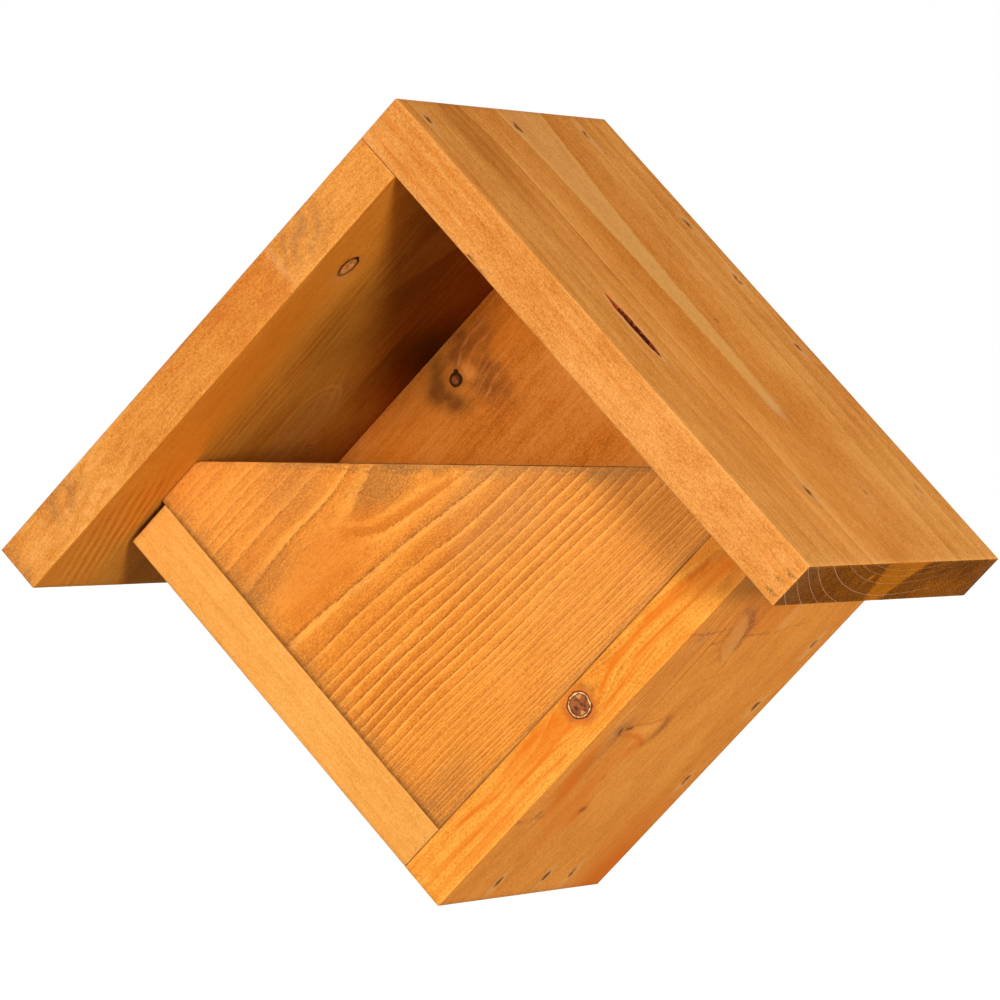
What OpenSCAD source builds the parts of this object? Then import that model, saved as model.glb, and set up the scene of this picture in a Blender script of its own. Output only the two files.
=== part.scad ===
// Open-fronted nest box for robins, hung on a wall and standing on one corner like a diamond.
// Six planed softwood boards are butt-jointed and held by brads whose heads are sunk below the wood.
// The boards are laid out in an upright square frame and then turned onto their corner:
// x runs up the lower right side, z up the lower left side and y from the front to the wall,
// with zero at the inside bottom corner of the box, in line with the front of its sides.

/* [Timber] */
// Thickness of every board
board_t = 18; // [12:1:25]
// Radius of the planed edges that run along the grain
edge_ease = 1; // [0.5:0.25:2]

/* [Box] */
// Clear inside width of the square, from board to board
inside_w = 152; // [120:1:200]
// Depth of the box, from the front of its sides to the wall
box_depth = 118; // [90:1:160]
// Gap left between the top of the left side and the roof
top_gap = 2; // [0.5:0.5:5]

/* [Entrance] */
// Height of the triangular entrance, from the top of the front panel to the inside of the ridge
entrance_h = 94; // [60:1:110]

/* [Roof] */
// How far the roof stands out in front of the sides
front_overhang = 34; // [10:1:60]
// How far the eaves run past the outside of the sides
eave_overhang = 24; // [5:1:50]

/* [Wall hole] */
// Diameter of the screw hole in the back panel
wall_hole_d = 6; // [4:0.5:8]
// Distance from the inside of the ridge down to the middle of the screw hole
wall_hole_drop = 30; // [18:1:45]

/* [Brads] */
// Length of a brad, head and point included
brad_l = 38; // [32:1:45]
// Width of the flat wire
brad_w = 1.3; // [1:0.1:1.6]
// Thickness of the flat wire
brad_t = 1; // [0.8:0.1:1.4]
// Width of the T-shaped head
head_w = 2; // [1.8:0.1:2.6]
// Thickness of the head
head_t = 0.5; // [0.3:0.1:1]
// Length of the chisel point
point_l = 2.5; // [1.5:0.5:4]
// Depth of the head below the surface of the board
head_sunk = 1.5; // [0.5:0.25:3]
// Length of the slot that the driver leaves above a head, along the grain
slot_l = 3.2; // [2.8:0.1:4]
// Width of that slot
slot_w = 1.3; // [1.2:0.1:2]
// Clearance all round a brad in its hole
brad_clearance = 0.05; // [0.02:0.01:0.1]

/* [Hidden] */

// The roof lies on the square of the boards' inner faces, one board thickness out
outer = inside_w + board_t;
roof_depth = front_overhang + box_depth;
eave = board_t + eave_overhang;
inside_diagonal = inside_w * sqrt(2);

// Rows of brads: each number is a share of the board edge that the row follows.
// They were driven by hand, so they aren't evenly spaced.
ridge_row = [0.07, 0.49, 0.82];
roof_back_row = [0.385, 0.6, 0.775];
roof_side_row = [0.125, 0.5, 0.875];
side_back_row = [0.235, 0.48, 0.68];
bottom_row = [0.265, 0.56, 0.73];
front_row = [0.17, 0.44, 0.73];

// Depth of the brads in the front and back panels, as shares of the panel's thickness.
// Brads from the left and from the right keep to lines of their own, so they never meet.
front_line_right = 0.7;
front_line_left = 0.4;
back_line_right = 0.5;
back_line_left = 0.3;

// Straight steps in each eased edge, and how far a cut runs past the face that it opens
ease_steps = 3;
cut_past = 1;

front_panel_color = [0.93, 0.57, 0.22];
back_panel_color = [0.76, 0.40, 0.12];
roof_color = [0.80, 0.52, 0.24];
side_right_color = [0.84, 0.54, 0.26];
side_left_color = [0.96, 0.66, 0.32];
brad_color = [0.62, 0.62, 0.60];

// Turns the square frame onto its corner, with the middle of the wall hole at the origin
module hung_on_the_wall() {
    translate([0, -box_depth, wall_hole_drop - inside_diagonal])
        rotate([0, -45, 0])
            children();
}

// Points of one rounded corner of a board's section
function eased_corner(x, y, start) =
    [for (k = [0:ease_steps])
        let (a = start + 90 * k / ease_steps)
        [x + edge_ease * cos(a), y + edge_ease * sin(a)]];

// Board lying flat: grain and length along x, width along y, thickness up z
module board(length, width) {
    rotate([90, 0, 90])
        linear_extrude(length)
            polygon(concat(
                eased_corner(width - edge_ease, board_t - edge_ease, 0),
                eased_corner(edge_ease, board_t - edge_ease, 90),
                eased_corner(edge_ease, edge_ease, 180),
                eased_corner(width - edge_ease, edge_ease, 270)
            ));
}

// Board on end: grain and length up z, width along y, thickness towards -x
module upright_board(length, width) {
    rotate([0, -90, 0])
        board(length, width);
}

// Board on edge: grain and length along x, width up z, thickness towards -y
module board_on_edge(length, width) {
    rotate([90, 0, 0])
        board(length, width);
}

// Outline of a brad driven down from z = 0, its head across x, grown by a clearance
function brad_outline(grow) =
    let (h = head_w / 2 + grow, w = brad_w / 2 + grow, under_head = -head_sunk - head_t - grow)
    [
        [-h, -head_sunk], [h, -head_sunk], [h, under_head], [w, under_head],
        [w, -head_sunk - brad_l + point_l], [0, -head_sunk - brad_l - grow],
        [-w, -head_sunk - brad_l + point_l], [-w, under_head], [-h, under_head]
    ];

module brad_body(grow) {
    rotate([90, 0, 0])
        linear_extrude(brad_t + 2 * grow, center = true)
            polygon(brad_outline(grow));
}

module brad() {
    color(brad_color)
        brad_body(0);
}

// Hole for a brad, with the driver's slot above the head
module brad_hole() {
    brad_body(brad_clearance);
    translate([-slot_l / 2, -slot_w / 2, -head_sunk])
        cube([slot_l, slot_w, head_sunk + cut_past]);
}

// Places a brad, or its hole, at the outside of each board that brads are driven through
module from_roof_right(y, z) {
    translate([outer, y, z])
        rotate([0, 90, 0])
            children();
}

module from_roof_left(x, y) {
    translate([x, y, outer])
        children();
}

module from_side_right(x, y) {
    translate([x, y, -board_t])
        rotate([180, 0, 0])
            children();
}

module from_side_left(y, z) {
    translate([-board_t, y, z])
        rotate([0, -90, 0])
            children();
}

// Depth of a line of brads inside the back panel
function back_line(share) = box_depth - board_t + share * board_t;

module ridge_places() {
    for (share = ridge_row)
        from_roof_right(share * roof_depth - front_overhang, inside_w + board_t / 2)
            children();
}

module roof_right_back_places() {
    for (share = roof_back_row)
        from_roof_right(back_line(back_line_right), share * inside_w)
            children();
}

module roof_left_back_places() {
    for (share = roof_back_row)
        from_roof_left(share * inside_w, back_line(back_line_left))
            children();
}

module roof_right_side_places() {
    for (share = roof_side_row)
        from_roof_right(share * box_depth, -board_t / 2)
            children();
}

module roof_left_side_places() {
    for (share = roof_side_row)
        from_roof_left(-board_t / 2, share * box_depth)
            children();
}

module side_right_back_places() {
    for (share = side_back_row)
        from_side_right(share * inside_w, back_line(back_line_right))
            children();
}

module side_left_back_places() {
    for (share = side_back_row)
        from_side_left(back_line(back_line_left), share * inside_w)
            children();
}

module front_panel_right_places() {
    for (share = front_row)
        from_side_right(share * inside_w, front_line_right * board_t)
            children();
}

module front_panel_left_places() {
    for (share = front_row)
        from_side_left(front_line_left * board_t, share * inside_w)
            children();
}

module bottom_corner_places() {
    for (share = bottom_row)
        from_side_right(-board_t / 2, share * box_depth)
            children();
}

// Right roof board: runs over the end of the left one at the ridge
module roof_right() {
    color(roof_color)
        hung_on_the_wall()
            difference() {
                translate([outer, -front_overhang, -eave])
                    upright_board(eave + outer, roof_depth);
                ridge_places() brad_hole();
                roof_right_back_places() brad_hole();
                roof_right_side_places() brad_hole();
            }
}

// Left roof board: its top end butts against the underside of the right one
module roof_left() {
    color(roof_color)
        hung_on_the_wall()
            difference() {
                translate([-eave, -front_overhang, inside_w])
                    board(eave + inside_w, roof_depth);
                ridge_places() brad_hole();
                roof_left_back_places() brad_hole();
                roof_left_side_places() brad_hole();
            }
}

// Lower right side: runs past the bottom corner and up to the underside of the roof
module side_right() {
    color(side_right_color)
        hung_on_the_wall()
            difference() {
                translate([-board_t, 0, -board_t])
                    board(board_t + inside_w, box_depth);
                roof_right_side_places() brad_hole();
                side_right_back_places() brad_hole();
                front_panel_right_places() brad_hole();
                bottom_corner_places() brad_hole();
            }
}

// Lower left side: stands on the right one and stops short of the roof
module side_left() {
    color(side_left_color)
        hung_on_the_wall()
            difference() {
                upright_board(inside_w - top_gap, box_depth);
                roof_left_side_places() brad_hole();
                side_left_back_places() brad_hole();
                front_panel_left_places() brad_hole();
                bottom_corner_places() brad_hole();
            }
}

// Front panel: a square between the sides, its top corner sawn off level below the entrance
module front_panel() {
    color(front_panel_color)
        hung_on_the_wall()
            difference() {
                translate([0, board_t, 0])
                    board_on_edge(inside_w, inside_w);
                translate([inside_w, 0, inside_w])
                    rotate([0, 45, 0])
                        translate([-inside_diagonal, -cut_past, -entrance_h])
                            cube([2 * inside_diagonal, board_t + 2 * cut_past, 2 * entrance_h]);
                front_panel_right_places() brad_hole();
                front_panel_left_places() brad_hole();
            }
}

// Back panel: a full square between the sides and the roof, with the screw hole near its top corner
module back_panel() {
    hole_place = inside_w - wall_hole_drop / sqrt(2);
    color(back_panel_color)
        hung_on_the_wall()
            difference() {
                translate([0, box_depth, 0])
                    board_on_edge(inside_w, inside_w);
                translate([hole_place, box_depth + cut_past, hole_place])
                    rotate([90, 0, 0])
                        cylinder(d = wall_hole_d, h = board_t + 2 * cut_past, $fn = 48);
                roof_right_back_places() brad_hole();
                roof_left_back_places() brad_hole();
                side_right_back_places() brad_hole();
                side_left_back_places() brad_hole();
            }
}

module ridge_brads() { hung_on_the_wall() ridge_places() brad(); }
module roof_right_back_brads() { hung_on_the_wall() roof_right_back_places() brad(); }
module roof_left_back_brads() { hung_on_the_wall() roof_left_back_places() brad(); }
module roof_right_side_brads() { hung_on_the_wall() roof_right_side_places() brad(); }
module roof_left_side_brads() { hung_on_the_wall() roof_left_side_places() brad(); }
module side_right_back_brads() { hung_on_the_wall() side_right_back_places() brad(); }
module side_left_back_brads() { hung_on_the_wall() side_left_back_places() brad(); }
module front_panel_right_brads() { hung_on_the_wall() front_panel_right_places() brad(); }
module front_panel_left_brads() { hung_on_the_wall() front_panel_left_places() brad(); }
module bottom_corner_brads() { hung_on_the_wall() bottom_corner_places() brad(); }

roof_right();
roof_left();
side_right();
side_left();
front_panel();
back_panel();
ridge_brads();
roof_right_back_brads();
roof_left_back_brads();
roof_right_side_brads();
roof_left_side_brads();
side_right_back_brads();
side_left_back_brads();
front_panel_right_brads();
front_panel_left_brads();
bottom_corner_brads();
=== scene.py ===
from types import SimpleNamespace
import bpy
import numpy as np
from mathutils import Matrix, Vector


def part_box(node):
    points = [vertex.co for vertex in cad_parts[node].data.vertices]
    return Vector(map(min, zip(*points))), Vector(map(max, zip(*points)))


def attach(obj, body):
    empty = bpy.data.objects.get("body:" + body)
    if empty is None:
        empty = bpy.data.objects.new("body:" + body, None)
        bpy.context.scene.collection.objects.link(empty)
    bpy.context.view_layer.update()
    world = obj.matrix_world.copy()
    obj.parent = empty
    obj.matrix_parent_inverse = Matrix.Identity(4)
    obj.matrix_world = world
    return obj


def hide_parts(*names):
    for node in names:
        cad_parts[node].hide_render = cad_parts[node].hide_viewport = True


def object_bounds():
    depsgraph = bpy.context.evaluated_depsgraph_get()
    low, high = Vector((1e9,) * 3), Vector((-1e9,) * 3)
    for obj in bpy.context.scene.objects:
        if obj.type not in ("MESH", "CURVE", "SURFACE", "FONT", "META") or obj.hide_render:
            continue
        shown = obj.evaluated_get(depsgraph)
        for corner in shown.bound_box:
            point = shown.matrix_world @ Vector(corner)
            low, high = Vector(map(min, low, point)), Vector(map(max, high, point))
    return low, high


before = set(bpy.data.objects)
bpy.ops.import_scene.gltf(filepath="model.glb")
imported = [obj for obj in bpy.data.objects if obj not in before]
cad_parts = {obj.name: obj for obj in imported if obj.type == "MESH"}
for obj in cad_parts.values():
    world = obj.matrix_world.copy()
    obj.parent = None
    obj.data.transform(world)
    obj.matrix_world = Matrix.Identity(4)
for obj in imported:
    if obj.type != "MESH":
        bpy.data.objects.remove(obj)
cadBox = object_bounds()
print("frame loaded")

# Sizes are in millimetres, in the square that the boards stand in before it is turned on its corner:
# u runs up the lower right side, v up the lower left side, y from the front of the sides to the wall.
mm = 0.001
half = 0.5 ** 0.5  # run or rise of one millimetre along a slope of 45 degrees
tiny = 0.001


def corners(node):
    low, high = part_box(node)
    return np.array(low) / mm, np.array(high) / mm


backLow, backHigh = corners("back_panel")
boardT = backHigh[1] - backLow[1]
insideW = (backHigh[0] - backLow[0]) * half
bottomZ = backLow[2]
boxDepth = -corners("side_right")[0][1]
roofDepth = -corners("roof_right")[0][1]
overhang = roofDepth - boxDepth
outer = insideW + boardT
eave = corners("roof_right")[1][0] / half - outer
leftSideTop = -corners("side_left")[0][0] / half - boardT
levelCut = (corners("front_panel")[1][2] - bottomZ) / half  # u + v along the sawn top of the front panel


def toRow(u, y, v):
    # turns the square on its corner: x is the difference of u and v, z their sum, both over root two
    return np.stack([half * (u - v), y - boxDepth, bottomZ + half * (u + v)], -1) * mm


def toSquare(points):
    # the way back, from row metres to u, y, v
    x, y, z = (points / mm).T
    z = z - bottomZ
    return np.stack([half * (x + z), y + boxDepth, half * (z - x)], -1)


def rise(x, low, high):
    # goes from 0 at low to 1 at high along 3t^2 - 2t^3
    t = np.clip((x - low) / (high - low), 0, 1)
    return t * t * (3 - 2 * t)


def noise(seed, x, y=0.0, z=0.0):
    # value noise: seeded numbers from -1 to 1 on a lattice, blended with smooth shares of each cell
    size = 32
    table = np.random.default_rng(seed).random((size, size, size)) * 2 - 1
    cells = [np.floor(q).astype(int) for q in (x, y, z)]
    shares = [q - c for q, c in zip((x, y, z), cells)]
    shares = [s * s * (3 - 2 * s) for s in shares]
    total = 0
    for corner in range(8):
        steps = [corner >> k & 1 for k in range(3)]
        weight = 1
        for s, step in zip(shares, steps):
            weight = weight * (s if step else 1 - s)
        total = total + weight * table[tuple((c + step) % size for c, step in zip(cells, steps))]
    return total


def bradPlaces(node):
    # middle of each brad of a row: its points split into groups wherever the row's axis has a gap, and the
    # row's axis is the one with the most groups, because along the other two a brad has two groups at most
    gap = 4
    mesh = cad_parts[node].data
    points = np.empty(len(mesh.vertices) * 3)
    mesh.vertices.foreach_get("co", points)
    points = toSquare(points.reshape(-1, 3))
    best = []
    for axis in range(3):
        ordered = points[np.argsort(points[:, axis])]
        groups = np.split(ordered, np.nonzero(np.diff(ordered[:, axis]) > gap)[0] + 1)
        if len(groups) > len(best):
            best = groups
    return [(group.min(0) + group.max(0)) / 2 for group in best]


# Masks for painting
def bell(x, wide):
    # 1 in the middle, less to both sides as exp(-(x / wide)^2)
    return np.exp(-(x / wide) ** 2)


def oval(x, y, middle, reach, soft=0.5):
    # 1 inside an oval and 0 outside it, over a soft rim of its distance share
    far = np.hypot((x - middle[0]) / reach[0], (y - middle[1]) / reach[1])
    return 1 - rise(far, 1 - soft, 1 + soft)


def ovals(x, y, *rows):
    # sum of ovals, each a row of strength, middle, reach and softness
    return sum(strength * oval(x, y, *shape) for strength, *shape in rows)


def stroke(x, y, start, end, wide):
    # falls off as a bell from the straight line between two points
    run, climb = end[0] - start[0], end[1] - start[1]
    t = np.clip(((x - start[0]) * run + (y - start[1]) * climb) / (run * run + climb * climb), 0, 1)
    return bell(np.hypot(x - start[0] - t * run, y - start[1] - t * climb), wide)


def strokes(x, y, *rows):
    # sum of strokes, each a row of strength, width and the two or more points that it runs through
    return sum(strength * stroke(x, y, start, end, wide)
               for strength, wide, *spots in rows for start, end in zip(spots, spots[1:]))


def span(x, low, high, soft):
    # 1 between two places, with soft ends
    return rise(x, low - soft, low + soft) * (1 - rise(x, high - soft, high + soft))


def facing(normal):
    # 1 where a surface faces one way, 0 on its eased edges and beyond
    return rise(normal, 0.6, 0.95)


def capped(x):
    return np.clip(x, 0, 1)


def strongest(*shares):
    return np.maximum.reduce(shares)


# What a board, a tree and a knot have where their own dictionary doesn't say otherwise
plainBoard = {
    "ease": 0.4, "endEase": 0.2, "stepA": 1.6, "stepB": 1.6, "stepC": 1.2, "spotsA": (), "spotsB": (),
    "brads": (), "faintMarks": (), "slotDeep": 1.5, "relief": 0.04, "rough": 0.025, "wave": 0.07, "sink": 0.03,
}
plainTree = {
    "knots": (), "humps": (), "sway": (0.8, 40.0, 20.0), "squeeze": 1.0, "unevenRings": 0.45, "inward": False,
}
plainKnot = {"spindle": 2.2, "pull": 0.85, "deep": 99.0, "uneven": 0.1, "buried": False}


# Growth of the wood
def besideKnots(a, b, c, knots):
    # wood flows round a branch: a point at distance d from its axis is drawn towards it by pull x R^2 / d^2,
    # with d measured on a spindle stretched along the grain
    nearest = np.full_like(a, 99.0)
    for k in knots:
        fromB, fromC = b - k["b"], c - k["c"]
        runB, runC = k["run"]
        along = fromB * runB + fromC * runC
        da, db, dc = a - k["a"], fromB - along * runB, fromC - along * runC
        alive = 1 - rise(along, k["deep"] * 0.7, k["deep"])
        radius = k["radius"] * (1 + k["uneven"] * noise(11, a / 2.6, b / 2.6, c / 2.6))
        far = np.sqrt((da / k["spindle"]) ** 2 + db ** 2 + dc ** 2)
        pull = np.minimum(k["radius"] ** 2 / np.maximum(far, 0.1) ** 2, 1) * k["pull"] * alive
        near = np.sqrt(da ** 2 + db ** 2 + dc ** 2) / radius
        if "nub" in k:  # a small bump on the rim
            nubA, nubB, size = k["nub"]
            near = np.minimum(near, np.maximum(np.hypot(da - nubA, db - nubB) / size, 0.86))
        b, c = b - db * pull, c - dc * pull
        if not k["buried"]:  # a buried branch only bends the wood round it
            nearest = np.minimum(nearest, np.where(alive > 0.02, near, 99.0))
    return a, b, c, nearest


def growth(a, b, c, tree):
    # radius is the distance from the pith, which follows a path of places along the board, smoothed, and sways
    # slowly sideways; squeeze draws in the far side. rings counts the yearly layers crossed on the way out
    a, b, c, knot = besideKnots(a, b, c, tree["knots"])
    seed = tree["seed"]
    sway, swayLong, swayWide = tree["sway"]
    b = b + sway * noise(seed + 2, a / swayLong, b / swayWide + 5, c / swayWide)
    spots = np.array(tree["path"])
    steps = (-8, -4, 0, 4, 8)
    pithB = sum(np.interp(a + step, spots[:, 0], spots[:, 1]) for step in steps) / len(steps)
    pithC = sum(np.interp(a + step / 3, spots[:, 0], spots[:, 2]) for step in steps) / len(steps)
    offB = b - pithB
    offB = offB * np.where(offB > 0, tree["squeeze"], 1.0)
    radius = np.hypot(offB, c - pithC)
    wobble, long, wide = tree["wobble"]
    radius = radius + wobble * noise(seed, a / long + 7, b / wide, c / wide)
    radius = radius + 0.35 * wobble * noise(seed + 1, a / long * 2.7, b / wide * 2.3, c / wide)
    for size, middle, reach in tree["humps"]:  # places where the layers bulge
        radius = radius + size * bell(a - middle[0], reach[0]) * bell(b - middle[1], reach[1])
    levels = np.array(tree["levels"])
    draws = np.random.default_rng(seed)
    widths = tree["ringWidth"] * (1 + tree["unevenRings"] * (draws.random(160) - 0.5))
    if "narrow" in tree:
        start, end, share = tree["narrow"]
        widths = widths * (1 - (1 - share) * rise(levels[-1] + np.cumsum(widths), start, end))
    outwards = levels[-1] + np.cumsum(widths)
    inwards = levels[0] - np.arange(60, 0, -1) * tree["ringWidth"]
    edges = np.concatenate([inwards, levels, outwards])
    rings = np.interp(radius, edges, np.arange(len(edges)))
    return rings, radius, np.arctan2(offB, np.abs(c - pithC) + 1e-6) * radius, knot


def hardRidge(rings, inward):
    # height of the grain: climbs slowly through a ring to its ridge, then drops; inward turns it round
    t = rings % 1
    t = 1 - t if inward else t
    return t ** 3 * (1 - rise(t, 0.93, 1.0))


# Surface of a board
def gridLines(length, step, ease, spots):
    # even lines, closer ones on the eased edges, and extra lines at the spots
    edge = ease * np.array([0, 0.2, 0.5, 1.0])
    plain = np.linspace(ease, length - ease, max(2, int(round((length - 2 * ease) / step)) + 1))
    lines = np.concatenate([edge, length - edge, plain, *spots])
    lines = np.sort(lines[(lines >= 0) & (lines <= length)])
    lines = lines[np.concatenate([[True], np.diff(lines) > 0.06])]
    lines[-1] = length
    return lines


def boxSkin(na, nb, nc):
    # numbers the outside points of a box of grid points and joins them into quads that face outwards
    outside = np.ones((na, nb, nc), bool)
    outside[1:-1, 1:-1, 1:-1] = False
    index = np.full((na, nb, nc), -1)
    index[outside] = np.arange(outside.sum())
    sides = []
    for sheet, flip in ((index[:, :, -1], False), (index[:, :, 0], True), (index[:, -1, :], True),
                        (index[:, 0, :], False), (index[-1], False), (index[0], True)):
        quads = np.stack([sheet[:-1, :-1], sheet[1:, :-1], sheet[1:, 1:], sheet[:-1, 1:]], -1).reshape(-1, 4)
        sides.append(quads[:, ::-1] if flip else quads)
    return np.nonzero(outside), np.concatenate(sides)


def roundShare(x, low, high, r):
    # -1 to 0 over the eased edge at low, 0 to 1 over the one at high
    return np.clip((x - low - r) / r, -1, 0) + capped((x - high + r) / r)


def drillHole(grid, quads, hole, thick):
    # a round hole square through the flat of a board. Round it a point at square distance s and true distance
    # d moves out by s / d, fully at the mouth and less towards the reach, so squares of grid points turn into
    # circles; the quads inside the mouth go, and rings of points from c = thick down to 0 make the wall
    a, b, c = grid
    offA, offB = a - hole["a"], b - hole["b"]
    squareFar, roundFar = np.maximum(np.abs(offA), np.abs(offB)), np.hypot(offA, offB)
    mouth = hole["radius"] + hole["ease"]
    share = capped((hole["reach"] - squareFar) / (hole["reach"] - mouth))
    grow = 1 - share + share * squareFar / np.maximum(roundFar, tiny)
    onFace = (c < tiny) | (c > thick - tiny)
    inside = onFace & (squareFar < mouth - tiny)
    quads = quads[~inside[quads].any(1)]
    rim = onFace & (np.abs(squareFar - mouth) < tiny)
    turn = np.arctan2(offB, offA)
    bothRims = np.nonzero(rim & (c > 1))[0], np.nonzero(rim & (c < 1))[0]
    upper, lower = (at[np.argsort(turn[at])] for at in bothRims)
    a, b = hole["a"] + offA * grow, hole["b"] + offB * grow

    depths = np.linspace(thick - hole["ease"], hole["ease"], hole["rings"])
    way = np.tile(turn[upper], len(depths))
    rows = len(a) + np.arange(len(way)).reshape(len(depths), -1)
    rows = np.concatenate([upper[None], rows, lower[None]])
    ahead = np.roll(rows, -1, 1)
    wall = np.stack([rows[:-1], ahead[:-1], ahead[1:], rows[1:]], -1).reshape(-1, 4)
    wayIn = np.concatenate([np.full(len(a), np.nan), way])  # the angle round the hole, only in its wall
    a = np.concatenate([a, hole["a"] + hole["radius"] * np.cos(way)])
    b = np.concatenate([b, hole["b"] + hole["radius"] * np.sin(way)])
    c = np.concatenate([c, np.repeat(depths, len(upper))])
    kept, quads = np.unique(np.concatenate([quads, wall]), return_inverse=True)
    return a[kept], b[kept], c[kept], wayIn[kept], quads.reshape(-1, 4)


def toBoard(place, board):
    # a place in the square, as distances along, across and out of the board
    away = np.array(place) - np.array(board["start"])
    return [float(away @ np.array(board[way])) for way in ("along", "across", "out")]


def sinkBrads(skin, marks, depth, faint):
    # each brad's head lies at the bottom of a narrow slot with ragged walls, in a brown stain and a long patch
    # of paler bruised wood; marks near a faint place are all but closed
    a, b, c = skin.a, skin.b, skin.c
    outerFace = rise(skin.nc, 0.9, 1.0)
    for k, (ma, mb, mc) in enumerate(marks):
        clear = 0.45 if any(np.hypot(ma - fa, mb - fb) < 6 for fa, fb in faint) else 1.0
        slot = np.maximum(np.abs(a - ma) / (0.9 + 0.7 * clear), np.abs(b - mb) / (0.45 + 0.2 * clear))
        slot = slot + 0.14 * noise(40 + k, a / 0.9, b / 0.6, c)
        bruise = np.hypot((a - ma + 0.8) / 9.5, (b - mb) / 3.0) + 0.25 * noise(60 + k, a / 3, b / 1.5, c)
        stain = np.hypot((a - ma) / 2.7, (b - mb) / 1.6) + 0.35 * noise(80 + k, a / 1.3, b / 0.9, c)
        skin.height -= depth * (1 - rise(slot, 0.88, 1.08)) * outerFace
        skin.dark = np.maximum(skin.dark, clear * (1 - rise(stain, 0.45, 1.1)) * outerFace)
        skin.pale = np.maximum(skin.pale, clear * (1 - rise(bruise, 0.25, 1.15)) * outerFace)


def boardGrid(board, marks, knots):
    # grid lines crowd round the brads' slots, by the width of a slot, and round the knots, by their radius
    markA = np.array([-3, -1.75, -1.4, -0.7, 0, 0.7, 1.4, 1.75, 3])
    markB = np.array([-1.8, -0.72, -0.56, -0.28, 0, 0.28, 0.56, 0.72, 1.8])
    fine = np.arange(-1.7, 1.71, 0.13)
    spots = {
        "A": [m[0] + markA for m in marks] + [k["a"] + fine * k["radius"] for k in knots],
        "B": [m[1] + markB for m in marks] + [k["b"] + fine * k["radius"] for k in knots],
    }
    lineA = gridLines(board["length"], board["stepA"], board["endEase"], [*spots["A"], *board["spotsA"]])
    lineB = gridLines(board["width"], board["stepB"], board["ease"], [*spots["B"], *board["spotsB"]])
    edgeSpots = [k["c"] + fine * k["radius"] for k in knots if k["run"][0] > 0.7]
    lineC = gridLines(boardT, board["stepC"], board["ease"], edgeSpots)
    if "hole" in board:  # a line on each side of the mouth of a drilled hole
        mouth = board["hole"]["radius"] + board["hole"]["ease"]
        for line, way in ((lineA, "a"), (lineB, "b")):
            for edge in (board["hole"][way] - mouth, board["hole"][way] + mouth):
                line[np.argmin(np.abs(line - edge))] = edge
    (ia, ib, ic), quads = boxSkin(len(lineA), len(lineB), len(lineC))
    a, b, c = lineA[ia], lineB[ib], lineC[ic]
    if "hole" in board:
        return drillHole((a, b, c), quads, board["hole"], boardT)
    return a, b, c, np.full_like(a, np.nan), quads


def makeMesh(name, points, quads, attributes):
    mesh = bpy.data.meshes.new(name)
    mesh.vertices.add(len(points))
    mesh.vertices.foreach_set("co", points.ravel().astype(np.float32))
    mesh.loops.add(quads.size)
    mesh.loops.foreach_set("vertex_index", quads.ravel().astype(np.int32))
    mesh.polygons.add(len(quads))
    mesh.polygons.foreach_set("loop_start", np.arange(0, quads.size, 4, dtype=np.int32))
    mesh.update(calc_edges=True)
    mesh.polygons.foreach_set("use_smooth", np.ones(len(quads), bool))
    for label, values in attributes.items():
        data = mesh.attributes.new(label, "FLOAT_VECTOR", "POINT")
        data.data.foreach_set("vector", np.stack(values, -1).ravel().astype(np.float32))
    return mesh


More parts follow.
